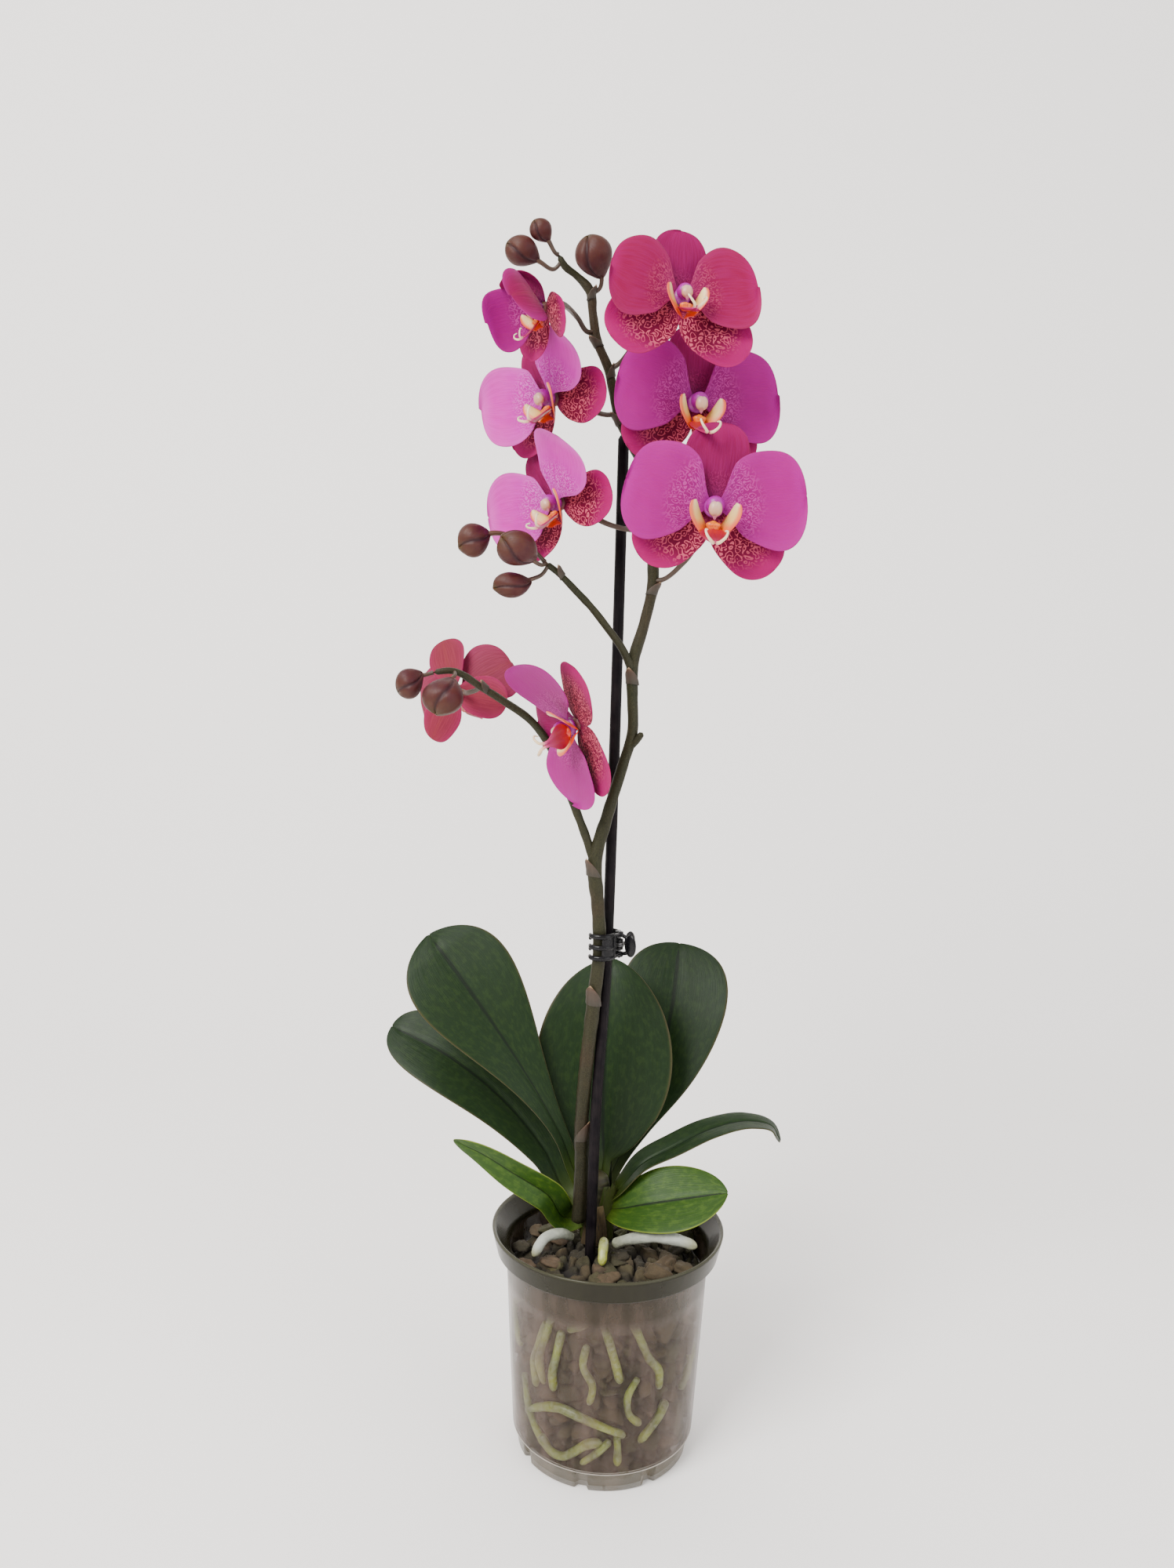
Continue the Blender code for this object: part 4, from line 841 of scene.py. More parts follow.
# knots of the midline, width, fullness towards base and tip, upper face at base and at tip, fold
leaves = {
    "leaf_upper_left": (
        [(-17.5, 8.0, 140.0), (-25.0, 6.0, 160.0), (-37.0, 6.0, 182.0), (-54.0, 10.0, 207.0),
         (-77.0, 19.0, 236.0), (-99.0, 30.0, 261.0)],
        56.0, (2.7, 0.60), (0.3, -1.0, 0.3), (0.1, -1.0, 0.5), 0.25),
    "leaf_left_back": (
        [(-19.5, 18.0, 122.0), (-34.0, 27.0, 143.0), (-58.0, 38.0, 167.0), (-90.0, 48.0, 188.0),
         (-123.0, 58.0, 201.0)],
        42.0, (1.15, 0.42), (0.4, -0.8, 0.6), (0.0, -0.9, 0.8), 0.30),
    "leaf_left_low": (
        [(-19.5, 7.0, 116.0), (-32.0, -8.0, 136.0), (-49.0, -15.0, 150.0), (-66.0, -18.0, 162.0),
         (-79.0, -18.0, 168.0)],
        15.5, (0.45, 0.45), (0.5, -0.7, 0.4), (-0.3, -0.9, -0.3), 0.50),
    "leaf_centre": (
        [(-3.0, 15.0, 145.0), (-4.0, 17.5, 166.0), (-4.0, 22.0, 197.0), (-2.5, 30.0, 227.0),
         (-0.5, 39.0, 248.0)],
        72.0, (0.60, 0.62), (0.0, -1.0, 0.2), (0.0, -1.0, 0.45), 0.18),
    "leaf_right_back": (
        [(3.0, 24.0, 136.0), (14.0, 34.0, 158.0), (27.0, 46.0, 187.0), (34.0, 56.0, 218.0),
         (38.0, 70.0, 250.0)],
        60.0, (1.75, 0.45), (-0.3, -1.0, 0.3), (-0.1, -1.0, 0.6), 0.22),
    "leaf_right_long": (
        [(5.5, 9.0, 131.0), (18.0, 9.0, 146.0), (33.0, 11.0, 154.0), (54.0, 16.0, 163.0),
         (74.0, 20.0, 166.0), (87.0, 23.0, 162.0), (92.0, 24.0, 154.0)],
        17.0, (0.45, 0.38), (-0.6, -0.3, 0.8), (0.1, -0.25, 1.0), 0.30),
    "leaf_right_low": (
        [(6.5, 1.0, 125.0), (19.0, -5.0, 130.5), (36.0, -9.0, 135.5), (51.0, -12.0, 139.5),
         (60.0, -14.0, 142.0)],
        36.0, (0.85, 0.62), (-0.5, -0.6, 0.8), (0.0, -0.6, 0.8), 0.20),
}
leafLook = {
    "dark": {"top": srgb(21, 36, 16), "patch": srgb(62, 80, 42), "under": srgb(50, 62, 30), "mottle": 0.16,
             "rim": srgb(72, 62, 44)},
    "young": {"top": srgb(52, 74, 36), "patch": srgb(100, 122, 66), "under": srgb(88, 108, 52),
              "mottle": 0.28, "rim": srgb(150, 160, 90)},
}


def leafMaterial(name, look):
    # waxy blade: fine lengthwise lines, pale mottling, a thin purplish rim
    material, tree, _, uv = startMaterial(name, {"Coat Weight": 0.06, "Coat Roughness": 0.35,
                                                             "Specular IOR Level": 0.15})
    along, across, face = mark(tree, "along"), mark(tree, "across"), mark(tree, "face")
    edge = calc(tree, "ABSOLUTE", across)
    lines = noise(tree, uv, (2.2, 0.05, 1.0), 3.0)
    lines = ease(tree, lines, 0.35, 0.65)
    cells = noise(tree, uv, (0.34, 0.20, 1.0), 4.0, Roughness=0.6)
    cells = ease(tree, cells, 0.44, 0.66)
    pores = noise(tree, uv, 2.6, 2.0)
    top = wash(tree, look["top"], cells, look["mottle"], look["patch"])
    top = wash(tree, top, lines, 0.25, srgb(30, 46, 30))
    # painted shade: a dark line laid down the midrib groove
    grooveShade = inverse(tree, ease(tree, edge, 0.015, 0.06))
    top = wash(tree, top, grooveShade, 0.85, srgb(8, 18, 8))
    top = wash(tree, top, ease(tree, edge, 0.955, 0.995), 0.7, look["rim"])
    low = inverse(tree, ease(tree, along, 0.02, 0.22))
    top = wash(tree, top, low, 0.5, srgb(92, 104, 56))
    under = wash(tree, look["under"], lines, 0.4, srgb(78, 62, 58))
    base = mixed(tree, face, under, top)
    rough = calc(tree, "MULTIPLY_ADD", pores, 0.25, 0.30)
    relief = calc(tree, "ADD", times(tree, lines, 0.6), times(tree, pores, 0.5))
    return dressed(material, {"Base Color": base, "Roughness": rough}, relief, 0.22, 0.0004)


leafFinish = {kind: leafMaterial(kind + "Leaf", look) for kind, look in leafLook.items()}


def buildLeaf(name):
    knots, width, fullness, baseFace, tipFace, fold = leaves[name]
    young = name in ("leaf_left_low", "leaf_right_low")
    heel = 0.15 if name == "leaf_centre" else 0.0
    foot = 0.28 * np.array(knots[0]) + 0.72 * np.array([-6.0, 9.5, 120.0])
    route = smoothPath([tuple(foot), *knots], 200)
    slope = unit(np.gradient(route, axis=0))
    length = np.linalg.norm(np.diff(route, axis=0), axis=1).sum()
    at = np.linspace(0, 1, 200)
    phase = len(name)

    def surface(u, v):
        centre = np.stack([np.interp(u, at, route[:, n]) for n in range(3)], axis=-1)
        tangent = unit(np.stack([np.interp(u, at, slope[:, n]) for n in range(3)], axis=-1))
        face = np.array(baseFace) * (1 - u)[..., None] + np.array(tipFace) * u[..., None]
        face = unit(face - tangent * np.sum(face * tangent, axis=-1, keepdims=True))
        side = np.cross(face, tangent)
        half = 0.5 * width * bladeWidth(np.clip((u - heel) / (1 - heel), 0, 1), *fullness, 8.0 / width, 0.06)
        rise = fold * half * (1.2 - u)
        edge = np.abs(v)
        wave = 0.5 * edge ** 3 * np.sin(9 * u + 2 * np.sign(v) + phase)
        lift = rise * (np.sqrt(v * v + 0.004) - 0.16) + wave - 0.9 * bump(0, 0.05, v) * (1 - 0.6 * u)
        notch = -0.030 * length * bump(0, 0.16, v) * step(0.93, 1.0, u)
        return centre + side * (v * half)[..., None] + face * lift[..., None] + tangent * notch[..., None]
    home = ("plant", "young_leaf" if young else "leaf", [name])
    finish = leafFinish["young" if young else "dark"]
    blade(name + "Blade", surface, 1.5, 90, 26, finish, home, (width, length), 0.6)


for leafName in leaves:
    buildLeaf(leafName)
print("leaves done")


potSize = {"height": 117.5, "rim": 60.0, "skirt": 57.4, "skirtDepth": 11.5, "collar": 108.5, "wallTop": 52.6,
           "stepHeight": 10.7, "step": 47.2, "foot": 44.3, "wall": 1.0, "notches": 8, "mediumTop": 99.0}
topRoots = {
    "aerial_root_right": (
        [(3.0, -8.0, 110.0), (11.0, -13.0, 115.5), (25.0, -17.0, 119.0), (36.0, -20.0, 119.0),
         (44.5, -23.0, 117.5)], 2.9, "silver"),
    "aerial_root_left": (
        [(-18.0, 2.0, 108.0), (-25.0, -4.0, 113.0), (-32.0, -9.0, 113.0), (-38.0, -16.0, 106.5)],
        2.6, "silver"),
    "aerial_root_tip": (
        [(-2.0, -7.0, 107.5), (-2.0, -12.0, 113.0), (-2.5, -18.0, 112.0), (-3.0, -22.5, 106.0)],
        2.6, "green"),
}
# degrees round from the front, and height
wallRoots = {
    "wall_root_1": [(-34, 90), (-41, 74), (-46, 59), (-42, 49)],
    "wall_root_2": [(-28, 82), (-32, 68), (-35, 56), (-34, 48)],
    "wall_root_3": [(-24, 84), (-15, 88), (-6, 95), (-1, 86), (4, 73), (9, 58)],
    "wall_root_4": [(12, 94), (16, 88), (21, 79), (27, 69), (35, 60), (36, 50)],
    "wall_root_5": [(-62, 26), (-48, 34), (-30, 40), (-14, 38), (0, 34), (14, 29)],
    "wall_root_6": [(-46, 20), (-37, 14), (-28, 14), (-19, 19), (-11, 24), (-1, 26)],
    "wall_root_7": [(43, 42), (38, 35), (30, 29), (23, 24)],
}
rootLook = {
    "silver": [(0.0, 120, 122, 104), (0.35, 168, 172, 162), (0.8, 190, 194, 188), (1.0, 150, 150, 120)],
    "green": [(0.0, 120, 122, 92), (0.5, 150, 154, 96), (1.0, 176, 182, 92)],
    "wet": [(0.0, 92, 104, 36), (0.3, 142, 154, 60), (0.55, 104, 116, 46),
            (0.8, 152, 160, 72), (1.0, 108, 114, 50)],
}


def rootMaterial(name, stops, settings):
    material, tree, place, _ = startMaterial(name + "Root", settings)
    patches = useGroup(tree, grain, {"Vector": place, "Size": 4.0})
    specks = useGroup(tree, grain, {"Vector": place, "Size": 1.2})
    base = ramp(tree, mark(tree, "along"), stops)
    base = wash(tree, base, patches["Coarse"], 0.35, srgb(92, 92, 78))
    base = wash(tree, base, specks["Coarse"], 0.25, srgb(204, 206, 190))
    return dressed(material, {"Base Color": base}, specks["Coarse"], 0.35, 0.0004)


rootGloss = {"silver": {"Roughness": 0.75}, "green": {"Roughness": 0.45, "Coat Weight": 0.2},
             "wet": {"Roughness": 0.4, "Coat Weight": 0.2}}
rootFinish = {kind: rootMaterial(kind, stops, rootGloss[kind]) for kind, stops in rootLook.items()}


def roundAxis(radius, turn, height):
    # points about the pot's axis, the turn counted from the front
    return np.stack(np.broadcast_arrays(radius * np.sin(turn), -radius * np.cos(turn), height), axis=-1)


def wallRadius(height):
    share = (height - potSize["stepHeight"]) / (potSize["collar"] - potSize["stepHeight"])
    return potSize["step"] + share * (potSize["wallTop"] - potSize["step"])


def root(name, knots, radius, finish, home):
    route = smoothPath(knots, 90)
    swell = 1 + 0.07 * waveNoise(route, 14.0, len(knots))

    def ridges(run, angle):
        return 1 + 0.04 * np.cos(2 * angle + 0.15 * run) + 0.02 * np.cos(5 * angle - 0.3 * run)
    sweep(name, route, radius * swell * 0.97, 20, finish, home, (0.8, 1.8), ridges=ridges)


def wallKnots(marksRound, depth=4.0):
    degrees, heights = np.array(marksRound, dtype=float).T
    return roundAxis(wallRadius(heights) - depth, np.radians(degrees), heights)


for name, (knots, radius, look) in topRoots.items():
    root(name + "Skin", knots, radius, rootFinish[look], ("plant", "dry_root", [name]))
wallPaths = {name: smoothPath(wallKnots(rounds), 60) for name, rounds in wallRoots.items()}
for name, rounds in wallRoots.items():
    root(name + "Skin", wallKnots(rounds), 2.2, rootFinish["wet"], ("plant", "wet_root", [name]))


frontRoots = [[(-39, 84), (-46, 70), (-51, 58), (-49, 45)], [(-64, 46), (-61, 34), (-54, 24), (-42, 15)],
              [(8, 30), (9, 22), (9, 13)], [(4, 27), (-6, 19), (-15, 13)],
              [(20, 60), (14, 50), (16, 40), (24, 34)], [(-12, 78), (-14, 66), (-8, 56), (-10, 46)]]
for number, rounds in enumerate(frontRoots, start=1):
    wallPaths[f"frontRoot{number}"] = smoothPath(wallKnots(rounds, 3.8), 60)
    root(f"frontRoot{number}", wallKnots(rounds, 3.8), 1.9, rootFinish["wet"], ("plant", "wet_root", []))


backRootCount = 11


def backRoots():
    # roots that climb the wall on the sides that the front ones leave bare
    rng = np.random.default_rng(11)
    for number in range(backRootCount):
        start = 62 + number * 21 + rng.uniform(-6, 6)
        height = rng.uniform(18, 80)
        rise = rng.uniform(-26, 26)
        rounds = [(start + 9 * k, np.clip(height + rise * k / 3 + rng.uniform(-7, 7), 14, 92))
                  for k in range(5)]
        wallPaths[f"backRoot{number}"] = smoothPath(wallKnots(rounds, 3.6), 60)
        root(f"backRoot{number + 1}", wallKnots(rounds, 3.6), rng.uniform(1.4, 2.0), rootFinish["wet"],
             ("plant", "wet_root", []))


backRoots()


def paperMaterial():
    # dry leaf bases: brown fibres with pale torn edges
    material, tree, _, uv = startMaterial("dryPaper", {"Roughness": 0.8})
    fibres = useGroup(tree, longVeins, {"Vector": uv, "Fineness": 2.4})
    base = mixed(tree, fibres["Veins"], srgb(44, 36, 24), srgb(80, 66, 44))
    base = wash(tree, base, ease(tree, mark(tree, "along"), 0.75, 1.0), 0.5, srgb(124, 108, 80))
    return dressed(material, {"Base Color": base}, fibres["Veins"], 0.5, 0.0005)


paperFinish = paperMaterial()


def wrap(name, centre, radius, low, high, middle, half, finish, home):
    # a torn sheath round the crown; middle and half are the turn it covers
    def surface(u, v):
        turn = middle + half * v * (1 - 0.45 * u)
        out = radius + 1.2 * u + 0.4 * np.sin(5 * v + 6 * u)
        top = (high - low) * (1 - 0.12 * np.abs(np.sin(7 * v)))
        return roundAxis(out, turn, low + top * u) + np.array([*centre, 0.0])
    blade(name, surface, 0.6, 20, 16, finish, home, (18.0, high - low))


def crownMaterial():
    material, tree, place, _ = startMaterial("crownSkin", {"Roughness": 0.65})
    specks = useGroup(tree, grain, {"Vector": place, "Size": 3.0})
    bands = noise(tree, place, (120.0, 120.0, 500.0), 2.0)
    base = mixed(tree, ease(tree, bands, 0.4, 0.6), srgb(34, 36, 20), srgb(56, 58, 34))
    base = wash(tree, base, specks["Coarse"], 0.4, srgb(70, 52, 38))
    return dressed(material, {"Base Color": base}, bands, 0.5, 0.0008)


crownRoute = smoothPath([(-6.0, 9.0, 103.6, 7.5), (-6.0, 9.0, 112.0, 8.5), (-6.0, 9.5, 124.0, 7.5),
                         (-5.5, 10.0, 136.0, 5.5), (-5.0, 10.0, 141.0, 3.5)], 60)
sweep("crown", crownRoute[:, :3], crownRoute[:, 3], 36, crownMaterial(),
      ("plant", "crown", ["plant_crown"]), (0.1, 0.6),
      ridges=lambda run, angle: 1 + 0.05 * np.cos(2 * angle) + 0.03 * np.abs(np.sin(run * 0.7)))
sheathHome = ("plant", "papery_sheath", ["old_sheath"])
wrap("sheathFront", (-6.0, 9.0), 10.2, 105.0, 128.0, -0.08, 0.75, paperFinish, sheathHome)
wrap("sheathBack", (-6.0, 9.0), 9.6, 105.0, 124.0, 2.9, 1.1, paperFinish, sheathHome)
for number, (middle, top) in enumerate([(-1.3, 142.0), (0.9, 138.0), (3.0, 146.0)], start=1):
    wrap(f"leafBase{number}", (-6.0, 9.0), 7.6 + 0.6 * number, 106.0, top, middle, 1.15, leafFinish["dark"],
         ("plant", "leaf", []))
print("roots done")


mediumLook = {"inset": 6.6, "bulge": 5.0, "cells": 420, "topCells": 130, "around": 300, "sideRows": 110,
              "topRows": 62, "sideTop": 92.0, "litter": 34}


def barkMaterial():
    # each chip has its own tone; fibres, painted shade in the gaps, and pale or green bloom here and there
    material, tree, place, _ = startMaterial("barkChips", {"Roughness": 0.88})
    tone, gap = mark(tree, "tone"), mark(tree, "gap")
    base = ramp(tree, tone, [(0.0, 34, 31, 22), (0.3, 50, 46, 32), (0.5, 60, 60, 40),
                             (0.7, 72, 62, 46), (0.9, 90, 74, 60), (1.0, 70, 74, 46)])
    specks = useGroup(tree, grain, {"Vector": place, "Size": 2.4})
    fibres = noise(tree, place, (160.0, 160.0, 420.0), 2.0)
    fibres = ease(tree, fibres, 0.35, 0.65)
    base = wash(tree, base, fibres, 0.3, srgb(44, 34, 24))
    base = wash(tree, base, specks["Coarse"], 0.3, srgb(30, 30, 20))
    base = wash(tree, base, specks["Fine"], 0.05, srgb(150, 136, 112))
    # painted shade: the gaps between chips darkened
    base = mixed(tree, gap, base, srgb(20, 15, 12))
    return dressed(material, {"Base Color": base}, fibres, 0.3, 0.0003)


barkFinish = barkMaterial()


def chipField(points, seeds, tones, tilt):
    # nearest and second nearest seed: each chip is a tilted flat patch with a gap round it, where the bark
    # finish paints shade
    nearest = np.full(points.shape[:-1], 1e9)
    second = np.full(points.shape[:-1], 1e9)
    tone = np.zeros(points.shape[:-1])
    height = np.zeros(points.shape[:-1])
    for seed, shade, lean in zip(seeds, tones, tilt):
        away = points - seed
        distance = np.sqrt(np.sum((away * np.array([1.0, 1.0, 1.0 + 0.5 * shade])) ** 2, axis=-1))
        closer = distance < nearest
        second = np.where(closer, nearest, np.minimum(second, distance))
        height = np.where(closer, 0.35 + 0.65 * shade + away @ lean, height)
        tone = np.where(closer, shade, tone)
        nearest = np.where(closer, distance, nearest)
    return tone, second - nearest, height


def buildMedium():
    inset, bulge, cells, topCells, around, sideRows, topRows, sideTop, _ = mediumLook.values()
    rng = np.random.default_rng(5)
    turn = np.arange(around)[None, :] / around * 2 * pi
    row = np.arange(sideRows + topRows)[:, None]
    heights = np.concatenate([np.linspace(2.2, sideTop, sideRows), np.full(topRows, sideTop)])[:, None]
    share = np.concatenate([np.ones(sideRows), np.linspace(0.985, 0.02, topRows)])[:, None]
    footRadius = potSize["foot"] - 6.0 + (potSize["step"] - potSize["foot"]) * step(2.0, 13.0, heights)
    snug = inset * (1 - 0.74 * step(86.0, sideTop, heights))
    plain = np.where(heights < 13.0, footRadius, wallRadius(heights) - snug) * share
    heap = 7.5 * (1 - (share * 0.985) ** 4) ** 0.8 + 2.6 * (1 - share ** 2)
    points = roundAxis(plain, turn, heights + np.where(row >= sideRows, heap, 0.0))
    sideTurn = rng.uniform(0, 2 * pi, cells)
    sideHeight = rng.uniform(0, 94, cells)
    sideRadius = wallRadius(sideHeight) - inset + rng.uniform(-2, 2, cells)
    topTurn = rng.uniform(0, 2 * pi, topCells)
    topRadius = 45 * np.sqrt(rng.uniform(0, 1, topCells))
    seeds = np.concatenate([roundAxis(sideRadius, sideTurn, sideHeight),
                            roundAxis(topRadius, topTurn, 101.0)])
    tones = rng.uniform(0, 1, cells + topCells)
    tilt = rng.normal(0, 0.035, (cells + topCells, 3))
    tone, gap, height = chipField(points, seeds, tones, tilt)
    crack = 1 - step(0.3, 1.8, gap)
    outward = roundAxis(1.0 + 0 * heights, turn, 0.0)
    rise = bulge * np.clip(height, 0, 1) * (1 - 0.85 * crack) - 1.2 * crack
    room = np.full(rise.shape, bulge)
    for path in wallPaths.values():
        for spot in path[::4]:
            near = np.linalg.norm(points - spot, axis=-1)
            room = np.minimum(room, 0.2 + 5.0 * step(3.0, 7.5, near))
    onTop = step(sideRows - 2, sideRows + 6, row + 0 * turn)
    rise = np.minimum(rise, room) * (1 - onTop) * step(1.0, 9.0, heights) * (1 - step(82.0, 89.0, heights))
    points = points + outward * rise[..., None]
    lumps = onTop * (4.5 * np.clip(height, 0, 1) * (1 - 0.8 * crack) - 2.6 * crack) * (1 - 0.4 * share)
    points[..., 2] += lumps + 0.5 * waveNoise(points, 6.0, 9)
    skinRings("barkMedium", points, barkFinish, ("plant", "bark", ["growing_medium"]),
              marks={"tone": tone, "gap": crack})


def chunk(name, spot, length, turnAngle, lean, tone, home, seed, flat=0.34):
    # a split slab of bark: a ball cut by random planes, stretched
    rng = np.random.default_rng(seed)
    way = unit(ellipsoidRings((0, 0, 0), (1, 1, 1), 18, 24)[0])
    faces = unit(rng.normal(size=(11, 3)))
    reach = rng.uniform(0.62, 0.95, 11)
    cutoff = np.min(reach / np.maximum(np.einsum("ijk,nk->ijn", way, faces), 0.05), axis=-1)
    rings = way * np.minimum(cutoff, 1.15)[..., None] * np.array([length, length * 0.62, length * flat]) * 0.5
    rings = rings + way * 0.25 * waveNoise(rings, 3.0, seed)[..., None]
    spin = turned(turnAngle, 0.0, lean)
    skinRings(name, rings @ spin.T + np.array(spot), barkFinish, home,
              marks={"tone": tone + 0 * rings[..., 0], "gap": 0 * rings[..., 0]})


def buildLitter():
    # loose chips over the medium, clear of crown and stake
    rng = np.random.default_rng(8)
    placed = 0
    while placed < mediumLook["litter"]:
        turn, radius = rng.uniform(0, 2 * pi), 47 * math.sqrt(rng.uniform(0.05, 1))
        x, y = radius * math.sin(turn), -radius * math.cos(turn)
        if math.hypot(x + 6, y - 9) < 15 or math.hypot(x + 9, y + 10) < 8:
            continue
        placed += 1
        height = potSize["mediumTop"] + 5.2 - 0.055 * radius + rng.uniform(-1.0, 1.0)
        chunk(f"chip{placed}", (x, y, height), rng.uniform(9, 19), rng.uniform(0, 180), rng.uniform(-22, 22),
              rng.uniform(0, 1), ("plant", "bark", []), 100 + placed)


buildMedium()
buildLitter()
for number, (spot, angle, tone) in enumerate([((-30.0, 14.0, 105.8), 30.0, 0.5),
                                              ((24.0, -26.0, 105.6), 150.0, 0.75)], start=1):
    home = ("plant", "bark", [f"bark_chunk_{number}"])
    chunk(f"looseBark{number}", spot, 17.0, angle, 8.0, tone, home, 30 + number, 0.42)
print("medium done")


def potMaterial():
    # clear plastic dulled by damp: streaked film over the roots, denser at glancing angles, olive at the rim;
    # painted highlights on the lip and the step ring, painted shade from 84 mm up
    material, tree, place, _ = startMaterial("hazyPlastic", {"Roughness": 0.25, "Coat Weight": 0.10,
                                                                      "Coat Roughness": 0.12})
    height = put(tree, "SeparateXYZ", {"Vector": place}).outputs["Z"]
    film = noise(tree, place, (90.0, 90.0, 22.0), 5.0, Roughness=0.6)
    drops = noise(tree, place, 420.0, 1.0)
    glancing = put(tree, "LayerWeight", {"Blend": 0.5}).outputs["Facing"]
    rim = ease(tree, height, 0.1045, 0.1070)
    # painted highlight: the top lip ring lightened
    lip = ease(tree, height, 0.1160, 0.1172)
    foot = inverse(tree, ease(tree, height, 0.0095, 0.0125))
    # painted highlight: a thin bright line on the step ring, about 10 mm up
    line = times(tree, ease(tree, height, 0.0096, 0.0102), inverse(tree, ease(tree, height, 0.0108, 0.0116)))
    body = mixed(tree, ease(tree, film, 0.35, 0.65), srgb(74, 64, 54), srgb(112, 96, 88))
    olive = mixed(tree, ease(tree, film, 0.3, 0.7), srgb(12, 13, 7), srgb(30, 31, 18))
    colour = mixed(tree, rim, body, olive)
    # painted shade: the wall from about 84 mm up, under and inside the rim, darkened and made denser
    shadeBand = ease(tree, height, 0.084, 0.094)
    # the lip and the step line carry painted highlights, the band from 84 mm up painted shade
    for mask, share, tone in ((lip, 0.5, (130, 130, 112)), (foot, 0.5, (112, 108, 90)),
                              (line, 0.8, (214, 208, 200)), (shadeBand, 0.7, (36, 34, 24))):
        colour = wash(tree, colour, mask, share, srgb(*tone))
    shine = calc(tree, "MULTIPLY_ADD", shadeBand, -0.38, 0.5)
    alpha = calc(tree, "MULTIPLY_ADD", ease(tree, film, 0.35, 0.75), 0.16, 0.12)
    for mask, share in ((calc(tree, "POWER", glancing, 2.6), 0.62), (ease(tree, drops, 0.60, 0.7), 0.05),
                        (rim, 0.66), (shadeBand, 0.70), (foot, 0.18), (line, 0.4)):
        alpha = calc(tree, "ADD", alpha, times(tree, mask, share), clamp=True)
    sockets = {"Base Color": colour, "Specular IOR Level": shine, "Alpha": alpha}
    return dressed(material, sockets, drops, 0.10, 0.0004)


def buildPot():
    # profile from the floor inside, over rim and skirt, down the wall and back under the floor
    wall, tall, rim, skirt = (potSize[key] for key in ("wall", "height", "rim", "skirt"))
    collar, top, foot = (potSize[key] for key in ("collar", "wallTop", "foot"))
    ledge, ledgeHeight, low = potSize["step"], potSize["stepHeight"], tall - potSize["skirtDepth"]
    corners = [(0.3, wall + 0.4), (20.0, wall + 0.4), (foot - wall - 1.0, wall + 0.4),
               (foot - wall, wall + 1.4),
               (ledge - 2.6, ledgeHeight - 1.0), (ledge - 2.2, ledgeHeight - 0.4),
               (ledge - wall, ledgeHeight + 0.8), (ledge - wall + 0.2, ledgeHeight + 3.0), (49.0, 60.0),
               (top - wall - 0.5, collar - 2.0), (top - wall - 0.4, collar + 0.6), (top + 0.4, collar + 2.0),
               (rim - 2.4, tall - 1.2), (rim - 1.2, tall - 0.2), (rim - 0.5, tall), (rim, tall - 0.5),
               (rim - 0.3, tall - 2.0), (skirt + 0.1, low + 0.6), (skirt, low), (skirt - wall, low),
               (skirt - wall + 0.1, low + 0.6), (rim - 1.7, tall - 2.6), (rim - 2.6, tall - 2.9),
               (top + 0.6, collar + 0.2), (top, collar - 0.8), (50.2, 62.0), (ledge + 0.1, ledgeHeight + 1.0),
               (ledge, ledgeHeight), (ledge - 0.9, ledgeHeight - 0.6), (ledge - 1.5, ledgeHeight - 1.2),
               (foot + 0.1, 0.8), (foot - 0.6, 0.0), (20.0, 0.0), (0.3, 0.0)]
    radius, height = np.array(corners).T[:, :, None]
    turn = np.arange(192)[None, :] / 192 * 2 * pi
    beat = np.cos(potSize["notches"] * (turn + 0.25))
    notch = step(0.82, 0.90, beat) * (1 - step(6.0, 7.0, height)) * step(38.0, 42.0, radius)
    skinRings("potWall", roundAxis(radius - 2.6 * notch, turn, height), potMaterial(),
              ("plant", "pot_plastic", ["nursery_pot"]))


buildPot()
print("pot done")


clip = {"height": 268.0, "pivot": (1.4, -8.0), "finger": 1.1, "pin": 0.8, "knuckle": 1.9, "handleTurn": 38.0,
        "front": [(-1.6, -13.6), (-5.0, -16.9), (-9.2, -17.3), (-12.8, -15.0), (-13.4, -11.6)],
        "back": [(0.6, -1.2), (-4.0, 1.7), (-9.0, -0.6), (-12.6, -5.6), (-13.5, -8.6)],
        "frontFingers": (-5.4, 0.0, 5.4), "backFingers": (-2.7, 2.7)}


def clipMaterial():
    material, tree, place, _ = startMaterial("clipPlastic", {"Specular IOR Level": 0.22})
    specks = useGroup(tree, grain, {"Vector": place, "Size": 2.0})
    base = wash(tree, srgb(10, 10, 12), specks["Coarse"], 0.3, srgb(26, 25, 28))
    rough = calc(tree, "MULTIPLY_ADD", specks["Coarse"], 0.14, 0.18)
    return dressed(material, {"Base Color": base, "Roughness": rough}, specks["Fine"], 0.08, 0.0002)


def wireMaterial():
    material, tree, place, _ = startMaterial("springWire", {"Metallic": 1.0})
    specks = useGroup(tree, grain, {"Vector": place, "Size": 1.0})["Coarse"]
    base = mixed(tree, specks, srgb(150, 150, 152), srgb(110, 108, 108))
    return dressed(material, {"Base Color": base, "Roughness": calc(tree, "MULTIPLY_ADD", specks, 0.2, 0.28)})


clipFinish, wireFinish = clipMaterial(), wireMaterial()


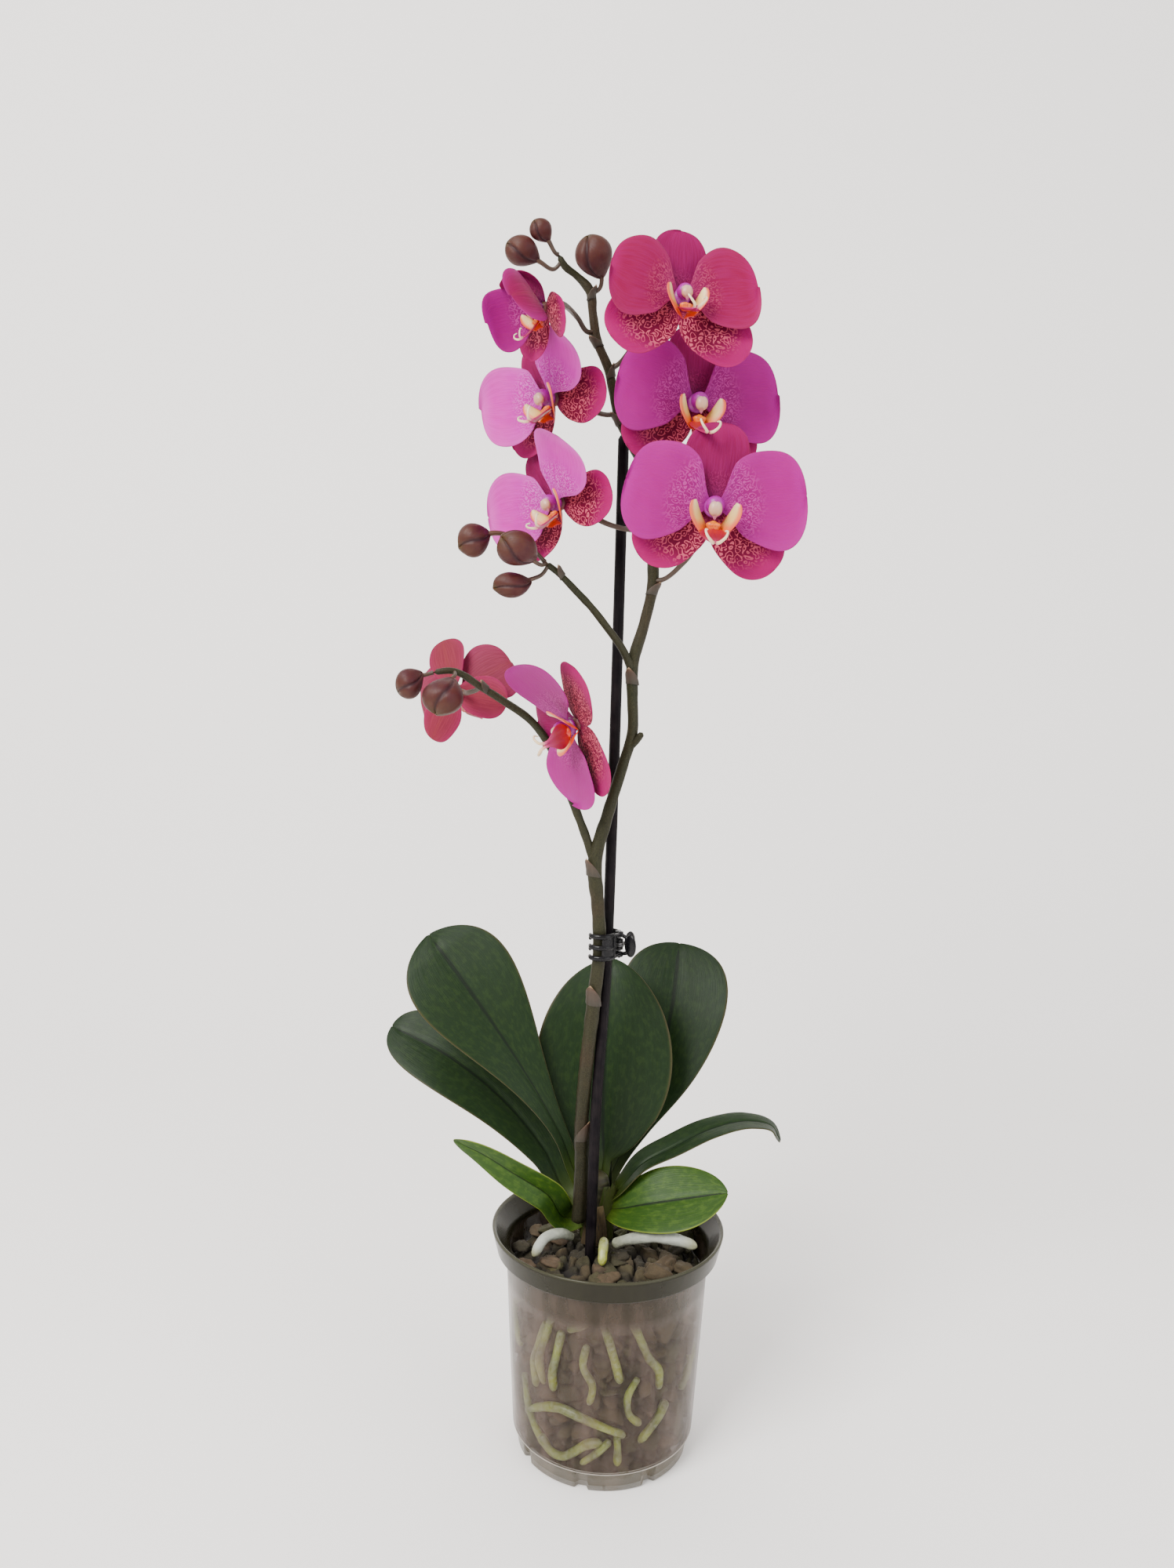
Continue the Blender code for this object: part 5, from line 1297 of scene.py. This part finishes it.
def buildJaw(name, route, fingers, knuckles, sign, home):
    # comb of fingers on a bar, arms to the knuckles round the pin, and a lever with a pad to press
    x, y = clip["pivot"]
    z = clip["height"]
    for number, level in enumerate(fingers, start=1):
        path = smoothPath([(a, b, z + level) for a, b in route], 40)
        radius = clip["finger"] * np.linspace(1.15, 0.8, 40)
        sweep(f"{name}Finger{number}", path, radius, 18, clipFinish, home, (0.8, 1.4), flat=((0, 0, 1), 1.25))
    bar = route[0]
    low, high = min(fingers) - 1.2, max(fingers) + 1.2
    sweep(f"{name}Bar", smoothPath([(*bar, z + low), (*bar, z + high)], 20), 1.25, 18, clipFinish, home)
    turn = math.radians(clip["handleTurn"]) * sign
    reach = np.array([math.cos(turn), math.sin(turn), 0.0])
    for number, (level, length) in enumerate(knuckles, start=1):
        middle = np.array([x, y, z + level + length / 2])
        line = np.linspace([x, y, z + level], [x, y, z + level + length], 12)
        sweep(f"{name}Knuckle{number}", line, clip["knuckle"], 22, clipFinish, home, (0.2, 0.2))
        start = np.array([*bar, middle[2]])
        sweep(f"{name}Arm{number}", np.linspace(start, middle + reach * 0.4, 12), 1.1, 16, clipFinish, home)
        pad = np.array([x, y, z]) + reach * 5.6 + np.array([0, 0, (level + length / 2) * 0.7])
        sweep(f"{name}Lever{number}", np.linspace(middle + reach * 0.4, pad, 12), 0.95, 16, clipFinish, home)
    plateRoute = smoothPath([(x - 2.2, y + sign * 3.0), *route[:4]], 60)
    at = np.linspace(0, 1, 60)

    def plate(u, v):
        level = [np.interp(0.62 * u, at, plateRoute[:, n]) for n in range(2)]
        return np.stack([*level, z + 5.9 * v], axis=-1)
    blade(f"{name}Plate", plate, 1.5, 20, 12, clipFinish, home, (11.8, 8.0), 0.35)
    spin = np.array(Matrix.Rotation(turn, 3, "Z"))

    def padShape(polar, angle):
        return 1 - 0.10 * bump(0.5 * pi, 0.5, polar) * np.abs(np.sin(angle))
    rings, marks, uv = ellipsoidRings((0, 0, 0), (3.5, 1.15, 5.6), 20, 30, shape=padShape)
    skinRings(f"{name}Pad", rings @ spin.T + np.array([x, y, z]) + reach * 6.8, clipFinish, home, uv, marks)


def buildClip():
    x, y = clip["pivot"]
    z = clip["height"]
    buildJaw("frontJaw", clip["front"], clip["frontFingers"], [(-6.6, 3.0), (3.6, 3.0)], -1.0,
             ("clip_jaw", "clip_plastic", ["clip_front_jaw"]))
    buildJaw("backJaw", clip["back"], clip["backFingers"], [(-3.2, 6.4)], 1.0,
             ("plant", "clip_plastic", ["clip_back_jaw"]))
    pinHome = ("plant", "clip_metal", ["clip_pin"])
    pinLine = np.linspace([x, y, z - 7.4], [x, y, z + 7.4], 16)
    sweep("pin", pinLine, clip["pin"], 18, wireFinish, pinHome, (0.5, 0.5))
    turn = np.linspace(0, 2 * pi * 2.4, 70)
    coilRise = z - 1.2 + turn / turn[-1] * 2.4
    coil = np.stack([x + 2.25 * np.cos(turn), y + 2.25 * np.sin(turn), coilRise], axis=-1)
    sweep("springCoil", coil, 0.32, 8, wireFinish, pinHome)


buildClip()
print("clip done")


stageLook = {"width": 3.0, "depth": 1.6, "wall": 0.85, "bend": 0.35, "tall": 2.2}


def buildStage():
    # floor that curves up into a wall
    matt = {"Roughness": 0.9, "Specular IOR Level": 0.1}
    material, tree, place, _ = startMaterial("paleStage", matt)
    cloud = noise(tree, place, 1.2, 2.0)
    dressed(material, {"Base Color": mixed(tree, cloud, (0.975, 0.955, 0.94, 1.0), (0.99, 0.97, 0.96, 1.0))})
    width, depth, wall, bend, tall = stageLook.values()
    arc = np.linspace(0, pi / 2, 14)
    curve = np.stack([wall - bend + bend * np.sin(arc), bend * (1 - np.cos(arc))], -1)
    profile = np.concatenate([[[-depth, 0.0]], curve, [[wall, tall]]])
    across = np.array([-width, width])
    points = np.stack(np.broadcast_arrays(across[None, :], profile[:, :1], profile[:, 1:]), -1)
    count = len(profile)
    i = np.arange(count - 1) * 2
    faces = np.stack([i, i + 1, i + 3, i + 2], -1)
    mesh = bpy.data.meshes.new("stage")
    mesh.from_pydata(points.reshape(-1, 3).tolist(), [], faces.tolist())
    mesh.polygons.foreach_set("use_smooth", np.ones(count - 1, dtype=bool))
    mesh.materials.append(material)
    stage = bpy.data.objects.new("stage", mesh)
    bpy.context.scene.collection.objects.link(stage)


def light(name, place, aim, size, power, tint):
    data = bpy.data.lights.new(name, "AREA")
    data.size = size
    data.energy = power
    data.color = tint
    lamp = bpy.data.objects.new(name, data)
    lamp.location = place
    lamp.rotation_euler = (Vector(aim) - Vector(place)).to_track_quat("-Z", "Y").to_euler()
    bpy.context.scene.collection.objects.link(lamp)


buildStage()
light("keyLight", (-0.9, -1.1, 1.5), (0.0, 0.0, 0.35), 0.9, 58.0, (1.0, 0.98, 0.95))
light("fillLight", (1.2, -0.9, 0.7), (0.0, 0.0, 0.3), 1.2, 12.0, (0.97, 0.98, 1.0))
world = bpy.data.worlds.new("softRoom")
world.use_nodes = True
room = world.node_tree.nodes["Background"]
room.inputs["Color"].default_value = (1.0, 0.98, 0.955, 1.0)
room.inputs["Strength"].default_value = 1.05
bpy.context.scene.world = world

view = {"place": (-0.0169, -0.5852, 0.4121), "down": 6.33, "roll": 1.52, "lens": 27.05}
cameraData = bpy.data.cameras.new("viewCamera")
cameraData.lens = view["lens"]
cameraData.sensor_width = 36.0
camera = bpy.data.objects.new("viewCamera", cameraData)
tilted = Matrix.Rotation(math.radians(90 - view["down"]), 4, "X")
rolled = Matrix.Rotation(math.radians(view["roll"]), 4, "Z")
camera.matrix_world = Matrix.Translation(view["place"]) @ tilted @ rolled
bpy.context.scene.collection.objects.link(camera)
bpy.context.scene.camera = camera
